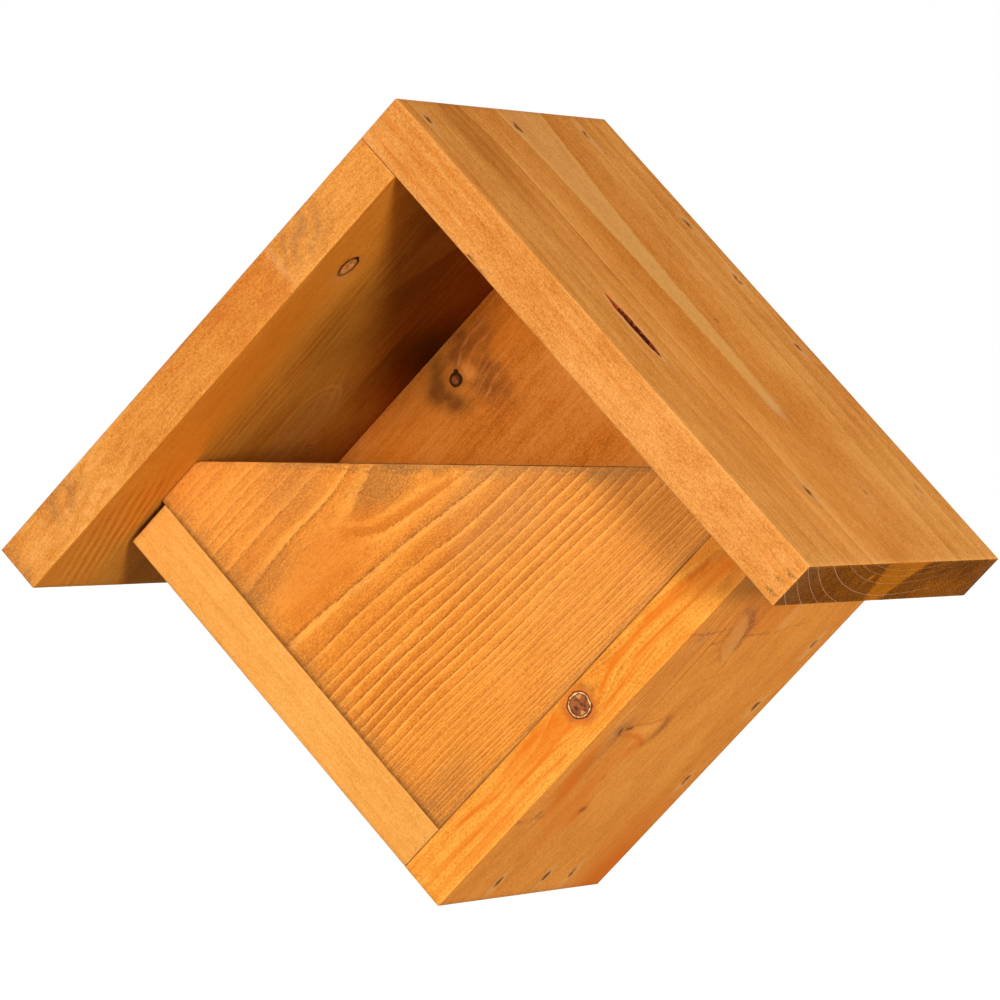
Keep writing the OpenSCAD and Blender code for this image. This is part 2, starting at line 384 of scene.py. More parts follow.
def makeBoard(name, node, board, tree, paint, material):
    board, tree = {**plainBoard, **board}, {**plainTree, **tree}
    tree["knots"] = [{**plainKnot, **k} for k in tree["knots"]]
    length, width, ease, endEase = board["length"], board["width"], board["ease"], board["endEase"]
    marks = [toBoard(place, board) for row in board["brads"] for place in bradPlaces(row)]
    knots = [k for k in tree["knots"] if not k["buried"]]
    a, b, c, wayIn, quads = boardGrid(board, marks, knots)
    top = np.full_like(a, width)
    slope = np.zeros_like(a)
    if "cut" in board:  # the upper lines follow the sawn edge, and the ones between share the height out
        top = np.minimum(width, board["cut"] - a)
        slope = (top < width) * 1.0
        b = np.where(b < ease, b, np.where(b > width - ease, top - (width - b),
                     ease + (b - ease) * (top - 2 * ease) / (width - 2 * ease)))

    # eased edges: the point of the inner box that is nearest, plus the radius along the way out; the wall of a
    # drilled hole faces the middle of the hole
    sa, sb, sc = roundShare(a, 0, length, endEase), roundShare(b, 0, top, ease), roundShare(c, 0, boardT, ease)
    inWall = ~np.isnan(wayIn)
    far = np.where(inWall, 1.0, np.sqrt(sa ** 2 + sb ** 2 + sc ** 2))
    na = np.where(inWall, -np.cos(wayIn), sa / far)
    nb = np.where(inWall, -np.sin(wayIn), sb / far)
    nc = sc / far
    pa = np.where(inWall, a, np.clip(a, endEase, length - endEase) + endEase * na)
    pb = np.where(inWall, b, np.clip(b, ease, top - ease) + ease * nb)
    pc = np.where(inWall, c, np.clip(c, ease, boardT - ease) + ease * nc)
    onSlope = slope * capped(nb)
    outward = na + onSlope * half, nb - onSlope * (1 - half), nc

    seed = tree["seed"]
    rings, radius, roundIt, knot = growth(pa, pb, pc, tree)
    endShare = np.where(inWall, 0.0, capped(np.abs(na) + onSlope * 0.75))
    onArris = np.minimum(np.abs(nb), np.abs(nc)) * 2  # 0 on the flats, about 1.4 along the long edges
    marksOf = {label: np.zeros_like(a) for label in ("dark", "pale", "resin", "orange", "grey", "light")}
    skin = SimpleNamespace(a=pa, b=pb, c=pc, na=na, nb=nb, nc=nc, radius=radius, top=top,
                           show=np.ones_like(a), **marksOf)
    ridge = board["relief"] * (hardRidge(rings, tree["inward"]) - 0.4)
    skin.height = (board["rough"] * noise(seed + 9, pa / 2.2, pb / 0.8, pc / 0.8)
                   + board["wave"] * noise(seed + 12, pa / 60, pb / 25, pc / 25)
                   - 0.10 * onArris * (0.5 + 0.5 * noise(seed + 5, pa / 14, pb / 14, pc / 14))
                   + ridge * (1 - endShare))
    sinkBrads(skin, marks, board["slotDeep"], board["faintMarks"])
    if knots:
        rim = bell(knot - 1.0, 0.12)
        skin.height += len(knots) * (0.08 * rise(1.25 - knot, 0, 0.35) - 0.18 * rim) * (1 - endShare)
    paint(skin)

    height = np.minimum(skin.height, 0.0) - board["sink"]
    moved = [p + out * height for p, out in zip((pa, pb, pc), outward)]
    ways = np.array([board["along"], board["across"], board["out"]])
    square = np.array(board["start"]) + np.stack(moved, -1) @ ways
    if np.linalg.det(ways) < 0:
        quads = quads[:, ::-1]

    # distance to the nearest edge of the board, for wear
    fromSides = np.minimum(b, top - b), np.minimum(c, boardT - c), np.minimum(a, length - a)
    edgeNear = sum(fromSides) - strongest(*fromSides)
    # the marks' dark and pale and the light channel also carry painted shade, painted light and a painted
    # highlight
    mesh = makeMesh(name, toRow(*square.T), quads, {
        "grown": (moved[0], radius, roundIt), "figure": (rings, knot, skin.show),
        "facing": (endShare, rise(np.abs(nb) * (1 - onSlope), 0.5, 0.9), edgeNear),
        "marks": (skin.dark, skin.pale, skin.resin), "stainsAndShading": (skin.orange, skin.grey, skin.light),
    })
    piece = bpy.data.objects.new(name, mesh)
    bpy.context.scene.collection.objects.link(piece)
    mesh.materials.append(material)
    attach(piece, "root")
    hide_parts(node)
    print(name, len(mesh.vertices), "points", len(quads) * 2, "triangles")


# Shader groups
class Flow:
    # the value of an output socket; arithmetic with it makes Math nodes
    def __init__(self, tree, socket):
        self.tree = tree
        self.socket = socket

    def __add__(self, other):
        return maths(self.tree, "ADD", self, other)

    def __sub__(self, other):
        return maths(self.tree, "SUBTRACT", self, other)

    def __rsub__(self, other):
        return maths(self.tree, "SUBTRACT", other, self)

    def __mul__(self, other):
        return maths(self.tree, "MULTIPLY", self, other)

    def __pow__(self, other):
        return maths(self.tree, "POWER", self, other)


def add(tree, kind, inputs=(), **settings):
    # one node: settings are its properties, inputs are values to set or flows to link
    node = tree.nodes.new(kind if kind.startswith("NodeGroup") else "ShaderNode" + kind)
    for key, value in settings.items():
        setattr(node, key, value)
    for key, value in dict(inputs).items():
        if isinstance(value, Flow):
            tree.links.new(value.socket, node.inputs[key])
        else:
            node.inputs[key].default_value = value
    return node


def flow(tree, kind, inputs=(), out=0, **settings):
    return Flow(tree, add(tree, kind, inputs, **settings).outputs[out])


def maths(tree, operation, *values):
    return flow(tree, "Math", dict(enumerate(values)), operation=operation)


def remap(tree, value, low, high, toLow=0.0, toHigh=1.0, kind="SMOOTHSTEP"):
    return flow(tree, "MapRange", {0: value, 1: low, 2: high, 3: toLow, 4: toHigh}, interpolation_type=kind)


def blend(tree, color, *layers, mode="MIX"):
    # lays tints over a colour, each a pair of share and tint
    for share, tint in layers:
        color = flow(tree, "Mix", {0: share, 6: color, 7: tint}, 2, data_type="RGBA", blend_type=mode)
    return color


def noiseAt(tree, spot, size, detail=2.0, roughness=0.5):
    # noise with blobs of the given size along, out of and round the grain
    scaled = flow(tree, "VectorMath", {0: spot, 1: size}, operation="DIVIDE")
    return flow(tree, "TexNoise", {"Vector": scaled, "Scale": 1.0, "Detail": detail, "Roughness": roughness})


def makeGroup(name, build, **inputs):
    # inputs are plain values, or None for a vector; build makes the nodes and returns the outputs by name
    group = bpy.data.node_groups.new(name, "ShaderNodeTree")
    inputs = {label.replace("_", " "): value for label, value in inputs.items()}
    for label, value in inputs.items():
        kind = "NodeSocketVector" if value is None else "NodeSocketFloat"
        socket = group.interface.new_socket(label, in_out="INPUT", socket_type=kind)
        if value is not None:
            socket.default_value = value
    source = group.nodes.new("NodeGroupInput").outputs
    results = build(group, {label: Flow(group, source[label]) for label in inputs})
    for label in results:
        group.interface.new_socket(label, in_out="OUTPUT", socket_type="NodeSocketFloat")
    add(group, "NodeGroupOutput", results)
    return group


def ringNodes(tree, given):
    # Tone climbs through each ring to its ridge, Ridge is the thin bright end, Valley the dark start; Inward
    # turns the ring round, Spread and Vary set how much one ring differs from the next in tone and in strength,
    # and Fray roughens the lines along the grain
    shake = noiseAt(tree, given["Grown"], (3.6, 0.45, 0.45), 3.0, 0.65) - 0.5
    rings = given["Rings"] + shake * given["Fray"]
    whole = maths(tree, "FLOOR", rings)
    outwards = maths(tree, "FRACT", rings)
    share = remap(tree, given["Inward"], 0.0, 1.0, outwards, 1.0 - outwards, "LINEAR")
    luck = flow(tree, "TexWhiteNoise", {"W": whole}, "Value", noise_dimensions="1D")
    other = flow(tree, "TexWhiteNoise", {"W": whole + 0.5}, "Value", noise_dimensions="1D")
    strength = 1.0 - other * given["Vary"]
    edge = 1.0 - given["Ridge Width"]
    climb = remap(tree, share, edge - given["Ridge Width"], edge)
    fall = remap(tree, share, 1.0 - given["Ridge Width"] * 0.35, 1.0, 1.0, 0.0)
    return {
        "Tone": share ** given["Steep"] + (luck - 0.5) * given["Spread"],
        "Ridge": climb * fall * strength,
        "Valley": remap(tree, share, 0.0, given["Valley Width"], 1.0, 0.0) * strength,
    }


def fibreNodes(tree, given):
    # Fibres are long and thin along the grain, Streaks longer still, Fuzz is the fine nap left by the saw,
    # and Dashes are short dark strokes
    long, wide, nap = given["Long"], given["Wide"], given["Nap"]

    def blobs(along, across, detail, roughness):
        size = flow(tree, "CombineXYZ", {0: along, 1: across, 2: across})
        return noiseAt(tree, given["Grown"], size, detail, roughness)

    return {
        "Fibres": blobs(long, wide, 3.0, 0.65), "Streaks": blobs(long * 6.0, wide * 3.2, 3.0, 0.6),
        "Fuzz": blobs(nap * given["Nap Long"], nap, 3.0, 0.75),
        "Dashes": remap(tree, blobs(nap * 5.0, nap * 0.9, 1.0, 0.5), 0.56, 0.72),
    }


def knotNodes(tree, given):
    # From the distance to a knot's middle, as a share of its radius: Core inside Core Edge, then a Seam,
    # the Collar of new wood, the Rim and a Halo that fades out at Shadow; Spots are mottles inside the core
    grown, line, edge = given["Grown"], given["Line"], given["Core Edge"]
    shaken = (noiseAt(tree, grown, (1.6,) * 3, 3.0, 0.6) - 0.5) * 0.3
    knot = given["Knot"] + shaken
    looser = given["Knot"] + shaken * -1.2

    def inside(share, limit):
        return remap(tree, share, limit - 0.06, limit, 1.0, 0.0)

    core = inside(looser, edge)
    seamOut = inside(looser, edge + line)
    collarOut = inside(knot, 1.0 - line)
    rimOut = remap(tree, knot, 0.97, 1.06, 1.0, 0.0)
    return {
        "Core": core, "Seam": seamOut - core, "Collar": maths(tree, "MAXIMUM", collarOut - seamOut, 0.0),
        "Rim": maths(tree, "MAXIMUM", rimOut - collarOut, 0.0),
        "Halo": remap(tree, knot, 1.0, given["Shadow"], 1.0, 0.0),
        "Speckle": remap(tree, noiseAt(tree, grown, (0.9,) * 3, 3.0, 0.7), 0.42, 0.6),
        "Spots": remap(tree, noiseAt(tree, grown, (1.9,) * 3, 1.0, 0.5), 0.56, 0.64),
    }


def cloudNodes(tree, given):
    # Patches where the stain soaked in more or less: Cloud is slow, Mottle a fifth of its length
    broad = flow(tree, "CombineXYZ", {0: given["Size"], 1: given["Size"] * 0.5, 2: given["Size"] * 0.5})
    small = flow(tree, "VectorMath", {0: broad, 1: (0.2, 0.16, 0.16)}, operation="MULTIPLY")
    grown = given["Grown"]
    return {"Cloud": noiseAt(tree, grown, broad), "Mottle": noiseAt(tree, grown, small, 3.0, 0.6)}


def wearNodes(tree, given):
    # Arrises are rubbed in broken patches, within Width of an edge
    near = remap(tree, given["Edge"], 0.0, given["Width"], 1.0, 0.0)
    return {"Worn": near * remap(tree, noiseAt(tree, given["Grown"], (5.0, 1.5, 1.5), 3.0), 0.4, 0.6)}


groups = {
    "rings": makeGroup("growthRings", ringNodes, Rings=0.0, Grown=None, Inward=0.0, Ridge_Width=0.06,
                       Valley_Width=0.25, Steep=2.0, Spread=0.3, Vary=0.3, Fray=0.1),
    "fibres": makeGroup("woodFibres", fibreNodes, Grown=None, Long=9.0, Wide=0.5, Nap=0.55, Nap_Long=2.0),
    "knot": makeGroup("knotParts", knotNodes, Knot=9.0, Grown=None, Core_Edge=0.74, Line=0.07, Shadow=2.6),
    "clouds": makeGroup("stainClouds", cloudNodes, Grown=None, Size=30.0),
    "wear": makeGroup("edgeWear", wearNodes, Edge=30.0, Grown=None, Width=1.2),
}


def use(tree, name, **inputs):
    # places a group; underscores in the names stand for spaces
    inputs = {label.replace("_", " "): value for label, value in inputs.items()}
    node = add(tree, "Group", inputs, node_tree=groups[name])
    return {output.name: Flow(tree, output) for output in node.outputs}


def rgb(red, green, blue):
    # display colour, 0 to 255, as the linear colour that a shader takes
    c = np.array([red, green, blue]) / 255
    return (*np.where(c <= 0.04045, c / 12.92, ((c + 0.055) / 1.055) ** 2.4).tolist(), 1.0)


def weighted(*pairs):
    # half, plus each noise's distance from half times its weight
    total = 0.5
    for value, weight in pairs:
        total = (value - 0.5) * weight + total
    return total


def toneRamp(tree, value, low, mid, high):
    ramp = add(tree, "ValToRGB", {0: value})
    ramp.color_ramp.elements[0].color = low
    ramp.color_ramp.elements[1].color = high
    ramp.color_ramp.elements.new(0.5).color = mid
    return Flow(tree, ramp.outputs[0])


def newMaterial(name):
    material = bpy.data.materials.new(name)
    material.use_nodes = True
    material.node_tree.nodes.clear()
    return material, material.node_tree


def stainedWood(name, look):
    material, tree = newMaterial(name)

    def attribute(label):
        return flow(tree, "Attribute", out="Vector", attribute_name=label)

    def parts(label):
        return [Flow(tree, part) for part in add(tree, "SeparateXYZ", {0: attribute(label)}).outputs]

    grown = attribute("grown")
    rings, knot, show = parts("figure")
    endShare, edgeFace, edge = parts("facing")
    dark, pale, resin = parts("marks")
    orange, grey, light = parts("stainsAndShading")

    ring = use(tree, "rings", Rings=rings, Grown=grown, Inward=look["inward"], Ridge_Width=look["ridgeWidth"],
               Valley_Width=look["valleyWidth"], Steep=look["steep"], Spread=look["spread"],
               Vary=look["vary"], Fray=look["fray"])
    fibre = use(tree, "fibres", Grown=grown, Long=look["fibreLong"], Wide=look["fibreWide"], Nap=look["nap"],
                Nap_Long=look["napLong"])
    cloud = use(tree, "clouds", Grown=grown, Size=look["cloudSize"])
    branch = use(tree, "knot", Knot=knot, Grown=grown, Core_Edge=look["coreEdge"], Line=look["knotLine"],
                 Shadow=look["knotShadow"])
    wear = use(tree, "wear", Edge=edge, Grown=grown, Width=look["wearWidth"])
    fuzz = fibre["Fuzz"]

    # one tone from all the figure, then colour by tone
    ringTone = (ring["Tone"] - 0.42) * (show * look["ringAmount"])
    fine = weighted((fibre["Fibres"], look["fibreAmount"]), (fibre["Streaks"], look["streakAmount"]),
                    (fuzz, look["fuzzAmount"]), (cloud["Cloud"], look["cloudAmount"]),
                    (cloud["Mottle"], look["mottleAmount"]))
    # light is the painted tone: stain and, on some boards, painted light and shade
    tone = fine + ringTone + light * 0.5
    valley = ring["Valley"] * remap(tree, fuzz, 0.4, 0.6, 1.0, 0.1) * show
    color = blend(
        tree, toneRamp(tree, tone, look["low"], look["mid"], look["high"]),
        (ring["Ridge"] * show * look["ridgeAmount"], look["ridgeColor"]),
        (valley * look["valleyAmount"], look["valleyColor"]),
        (fibre["Dashes"] * look["dashAmount"], look["dashColor"]),
        (orange, look["orange"]),
        (grey * remap(tree, fuzz, 0.38, 0.62, 1.0, look["greyFloor"]), look["grey"]),
    )

    # sawn ends drink more stain, and their rings show as thin pale lines
    endTone = weighted((fuzz, look["endFuzz"]), (cloud["Mottle"], 0.3), (cloud["Cloud"], 0.3)) + light
    endColor = toneRamp(tree, endTone, look["endDeep"], look["end"], look["endBright"])
    endColor = blend(tree, endColor, (1.0, look["endGain"]), mode="MULTIPLY")
    endColor = blend(tree, endColor, (ring["Ridge"] * show * look["endLineAmount"], look["endLine"]),
                     (grey * 0.5, look["endGrey"]))

    coreColor = blend(tree, look["core"], (branch["Speckle"], look["coreSpeck"]),
                      (branch["Spots"], look["coreSpot"]))
    color = blend(
        tree, color, (remap(tree, endShare, 0.35, 0.85), endColor),
        (branch["Halo"] * look["haloAmount"], look["halo"]),
        (branch["Core"] * look["coreAmount"], coreColor),
        (branch["Collar"] * look["collarAmount"], look["collar"]),
        (branch["Seam"] * look["seamAmount"], look["bark"]),
        (branch["Rim"] * look["rimAmount"], look["bark"]),
        (wear["Worn"] * look["wornAmount"], look["worn"]),
        (pale * look["bruiseAmount"], look["bruise"]),
        (dark * look["slotAmount"], look["slot"]),
    )
    color = blend(tree, color, (1.0, look["gain"]), (edgeFace, look["edgeGain"]), mode="MULTIPLY")
    thin = remap(tree, fuzz, 0.42, 0.72) + light * 0.7
    resinColor = blend(tree, look["resin"], (remap(tree, thin, 0.0, 1.0), look["resinThin"]))
    color = blend(tree, color, (resin, resinColor))

    height = weighted((fuzz, look["fuzzBump"]), (fibre["Fibres"], 0.5), (fibre["Dashes"], -0.25))
    normal = flow(tree, "Bump", {"Strength": look["bump"], "Distance": 0.0002, "Height": height})
    rough = weighted((fuzz, 0.25), (tone, -0.1), (resin, -0.35)) + look["dull"]
    shader = flow(tree, "BsdfPrincipled", {"Base Color": color, "Roughness": rough, "Normal": normal,
                                           "Specular IOR Level": look["gloss"]})
    add(tree, "OutputMaterial", {"Surface": shader})
    return material


plainLook = {
    "low": rgb(186, 104, 26), "mid": rgb(214, 138, 50), "high": rgb(232, 160, 74),
    "orange": rgb(212, 112, 14), "gain": (1, 1, 1, 1), "edgeGain": (1, 1, 1, 1), "endGain": (1, 1, 1, 1),
    "gloss": 0.3, "grey": rgb(146, 96, 34), "greyFloor": 0.25, "inward": 0.0, "ringAmount": 0.4,
    "steep": 1.6, "spread": 0.3, "vary": 0.4, "fray": 0.12, "ridgeWidth": 0.07, "ridgeAmount": 0.35,
    "ridgeColor": rgb(226, 164, 84), "valleyWidth": 0.3, "valleyAmount": 0.25,
    "valleyColor": rgb(186, 106, 30), "fibreLong": 9.0, "fibreWide": 0.5, "nap": 0.5, "napLong": 1.6,
    "fibreAmount": 0.5, "streakAmount": 0.5, "fuzzAmount": 1.8, "cloudSize": 40.0, "cloudAmount": 0.7,
    "mottleAmount": 0.5, "dashAmount": 0.12, "dashColor": rgb(140, 74, 18), "end": rgb(128, 76, 20),
    "endDeep": rgb(92, 50, 8), "endBright": rgb(206, 132, 40), "endLine": rgb(206, 150, 88),
    "endGrey": rgb(128, 92, 60), "endLineAmount": 0.9, "endFuzz": 2.4, "coreEdge": 0.72, "knotLine": 0.08,
    "knotShadow": 1.9, "core": rgb(132, 72, 28), "coreSpeck": rgb(92, 46, 20),
    "coreSpot": rgb(176, 110, 52), "coreAmount": 1.0, "collar": rgb(236, 190, 120), "collarAmount": 0.95,
    "bark": rgb(62, 32, 12), "seamAmount": 0.9, "rimAmount": 0.9, "halo": rgb(176, 92, 24),
    "haloAmount": 0.35, "worn": rgb(238, 178, 98), "wornAmount": 0.12, "wearWidth": 1.6,
    "bruise": rgb(216, 168, 104), "bruiseAmount": 0.45, "slot": rgb(112, 60, 14), "slotAmount": 0.9,
    "resin": rgb(60, 13, 2), "resinThin": rgb(166, 60, 8), "bump": 0.5, "fuzzBump": 1.0, "dull": 0.1,
}
print("shader groups built")

# Right roof board: the resin pocket, the tongue of pale wood and the dark patch by the ridge on its top
roofRightBoard = {
    "length": outer + eave, "width": roofDepth, "start": (insideW, -overhang, -eave),
    "along": (0, 0, 1), "across": (0, 1, 0), "out": (1, 0, 0),
    "brads": ("ridge_brads", "roof_right_back_brads", "roof_right_side_brads"),
    "faintMarks": ((31.0, 93.0), (31.0, 138.0)),
    "pocket": {"a": 108.5, "b": 27.6, "long": 14.7, "wide": 2.1, "deep": 0.8}, "chipDeep": 0.9,
    "stepA": 2.2, "stepB": 2.0, "spotsA": (np.linspace(92, 125, 70), np.arange(62, 76, 0.8)),
    "spotsB": (np.linspace(24, 31.5, 36),),
}
roofRightTree = {
    "path": ((0, 80.0, 133.0), (60, 80.3, 132.8), (66, 80.4, 132.5), (69, 80.4, 132.36), (82, 80.6, 132.33),
             (102, 81.0, 132.28), (142, 81.7, 132.19), (172, 82.7, 132.03), (192, 83.2, 131.77),
             (212, 83.4, 131.39)),
    "squeeze": 0.8, "wobble": (0.02, 70.0, 26.0), "sway": (0.9, 34.0, 16.0), "seed": 3,
    "humps": ((-1.8, (216.0, 42.0), (17.0, 9.0)),),
    "levels": (109.0, 114.4, 118.9, 121.6, 125.0, 130.6, 136.8, 140.5), "ringWidth": 6.0,
}


def paintRoofRight(skin):
    a, b, c = skin.a, skin.b, skin.c
    top, front, end = facing(skin.nc), facing(-skin.nb), rise(-skin.na, 0.5, 0.9)
    ragged = noise(71, a / 1.6, b / 0.8, c)

    # resin pocket: a lens that tapers to both ends, open to the top, with a pale lip
    pocket = roofRightBoard["pocket"]
    t = capped(1 - ((a - pocket["a"]) / pocket["long"]) ** 2)
    wide = pocket["wide"] * np.sqrt(t) * (1 + 0.25 * ragged) * (1 - 0.25 * rise(a, 112, 123))
    off = np.abs(b - pocket["b"] - 0.4 * noise(72, a / 5))
    within = (t > 0) * top
    lip = bell(off - wide - 0.9, 0.7) * rise(t + 0.08, 0.0, 0.3) + oval(a, b, (93.0, 27.6), (2.4, 1.2))
    skin.height -= pocket["deep"] * (1 - rise(off, wide * 0.7, wide + 0.1)) * within
    skin.resin = (1 - rise(off, wide + 0.1, wide + 0.4)) * within
    thin = rise(a, 112.0, 120.0) + 0.5 * rise(off - wide, -0.5, 0.1) + 0.4 * ragged
    skin.light += skin.resin * (thin - 0.2)

    # top: pale tongue with a blunt frayed tip, darker stain beside it, duller and closer rings to the front
    tongue = rise(114.5 - skin.radius, 0, 0.3) * top
    tip = oval(a, b, (72.0, 80.5 + 0.1 * (72.0 - a)), (6.5, 3.4), 0.4) * (0.8 + 0.4 * noise(70, a, b, c)) * top
    ridgeDark = oval(a, b, (209.0, 35.0), (34.0, 10.5), 0.6) * top
    band = noise(74, a / 90, b / 3.2) * (1 - 0.6 * rise(b, 100, 120))
    towardsRidge = a / roofRightBoard["length"]
    skin.show *= 1 - top * (0.45 * (1 - rise(b, 40, 47)) + 0.35 * rise(b, 108, 125))
    skin.light += 0.02 * tongue - 0.55 * ridgeDark
    skin.light += top * (0.26 - 0.46 * towardsRidge - 0.08 * (1 - rise(b, 30, 60)) + 0.06 * band)
    skin.grey += tongue * 0.16 + 0.10 * (1 - rise(b, 20, 40)) * top
    skin.orange += top * ovals(a, b, (0.12, (125, 66), (70, 8), 0.7), (0.12, (120, 100), (80, 8), 0.7),
                               (0.10, (60, 60), (60, 40), 0.6))
    faintLine = bell(b - 129.0 - 0.032 * a - 0.5 * noise(69, a / 30), 0.5)
    blemish = ovals(a, b, (1, (112.0, 96.3), (1.3, 0.9)), (0.6, (132.0, 62.0), (2.4, 0.9)))
    slit = stroke(a, b, (26.0, 48.3), (33.5, 49.2), 0.45) * (0.6 + 0.4 * ragged)
    paleEdge = (bell(b, 2.0) + 0.7 * bell(a - 1.0, 2.5)) * (1 + noise(73, a / 12, b / 12))
    skin.pale = strongest(skin.pale, 1.3 * lip * top, 1.1 * tip + 0.34 * tongue, 0.30 * faintLine * top,
                          0.18 * paleEdge * top)

    # front edge: reddish streaks that fade down from the ridge, grey dashes near the eave, a chip on the arris,
    # painted dark as shade in its notch
    dashes = strokes(a, c, (1, 0.4, (1.6, 11.6), (5.0, 10.9)), (0.8, 0.35, (1.8, 8.3), (4.6, 7.7)),
                     (1, 0.4, (1.4, 3.3), (5.8, 2.7)))
    streaks = rise(noise(75, a / 60, c / 0.5 + a / 40), 0.25, 0.8)
    redLine = bell(c - 10.2 - 0.012 * (a - 100) - 0.25 * noise(76, a / 25), 0.35)
    chip = oval(a, c, (151.0, 0.0), (6.5, 1.3), 0.6) * (skin.nb < 0) * rise(ragged, -0.3, 0.3)
    skin.show *= 1 - 0.8 * front
    skin.grey += 1.6 * capped(dashes) * front
    skin.orange += front * (0.35 * streaks * rise(a, 120, 205) + 0.15 * streaks + 0.40 * redLine)
    skin.light += front * 0.12 * noise(68, a / 16, c / 4)
    skin.height -= roofRightBoard["chipDeep"] * chip
    # the chip is also painted dark, a painted shade in its notch
    skin.dark = strongest(skin.dark, 0.17 * ridgeDark, capped(0.55 * blemish + 0.35 * slit) * top,
                          front * 0.22 * streaks * rise(a, 165, 212) * (0.6 + 0.6 * ragged), 0.85 * chip)

    # lower end: a wedge that took less stain, a pale saw line and a small scratch
    left = 69.5 - 7.5 * c / boardT + 0.8 * noise(77, c / 3, b / 9)
    right = 82.0 + 15.0 * (c / boardT) ** 1.6 + 1.2 * noise(78, c / 3, b / 9)
    wedge = rise(b - left, -0.8, 0.8) * (1 - rise(b - right, -0.8, 0.8)) * end
    line = stroke(b, c, (38.9, 0), (39.3, boardT), 0.45) * (0.6 + 0.4 * noise(79, c / 2, b))
    scratch = strokes(b, c, (1, 0.5, (56.0, 8.5), (59.0, 12.5)), (1, 0.4, (53.5, 10.5), (58.5, 11.5)))
    skin.light += end * (0.40 * wedge + 0.25 * line + 0.45 * scratch + 0.10 * noise(67, b / 2.2, c / 2.2)
                         + 0.16 * oval(b, c, (124.0, 4.0), (18.0, 6.0), 0.8))
    skin.grey += end * (0.5 * (1 - rise(b, 4, 26)) + 0.4 * rise(b, 140, 150))
    skin.show *= 1 - end * (0.45 * rise(b, 96, 116) + 0.25 * rise(b, 18, 36))


# Left roof board: two knots in its underside, the second with a broad swirl
roofLeftBoard = {
    "length": insideW + eave, "width": roofDepth, "start": (-eave, -overhang, insideW),
    "along": (1, 0, 0), "across": (0, 1, 0), "out": (0, 0, 1),
    "brads": ("roof_left_back_brads", "roof_left_side_brads"),
    "stepA": 2.1, "stepB": 0.9, "stepC": 1.8, "spotsA": (np.arange(64, 102, 1.2),),
    "paleLines": (39.5, 44.0, 48.5, 54.0, 59.0),
}
roofLeftTree = {
    "path": ((0, 112.0, 97.0), (60, 113.0, 96.0), (120, 111.0, 94.0), (176, 108.0, 92.0)),
    "wobble": (0.8, 50.0, 24.0), "sway": (1.0, 26.0, 14.0), "seed": 21, "levels": (70.0, 74.0),
    "ringWidth": 2.5,
    "knots": ({"a": 153.2, "b": 21.4, "c": 0.0, "run": (0, 1), "radius": 4.6, "uneven": 0.05},
              {"a": 63.0, "b": 103.5, "c": 0.0, "run": (0, 1), "radius": 3.6, "spindle": 3.6, "pull": 0.95,
               "buried": True, "deep": 12.0}),
    "humps": ((2.6, (82.0, 88.0), (20.0, 14.0)),),
}


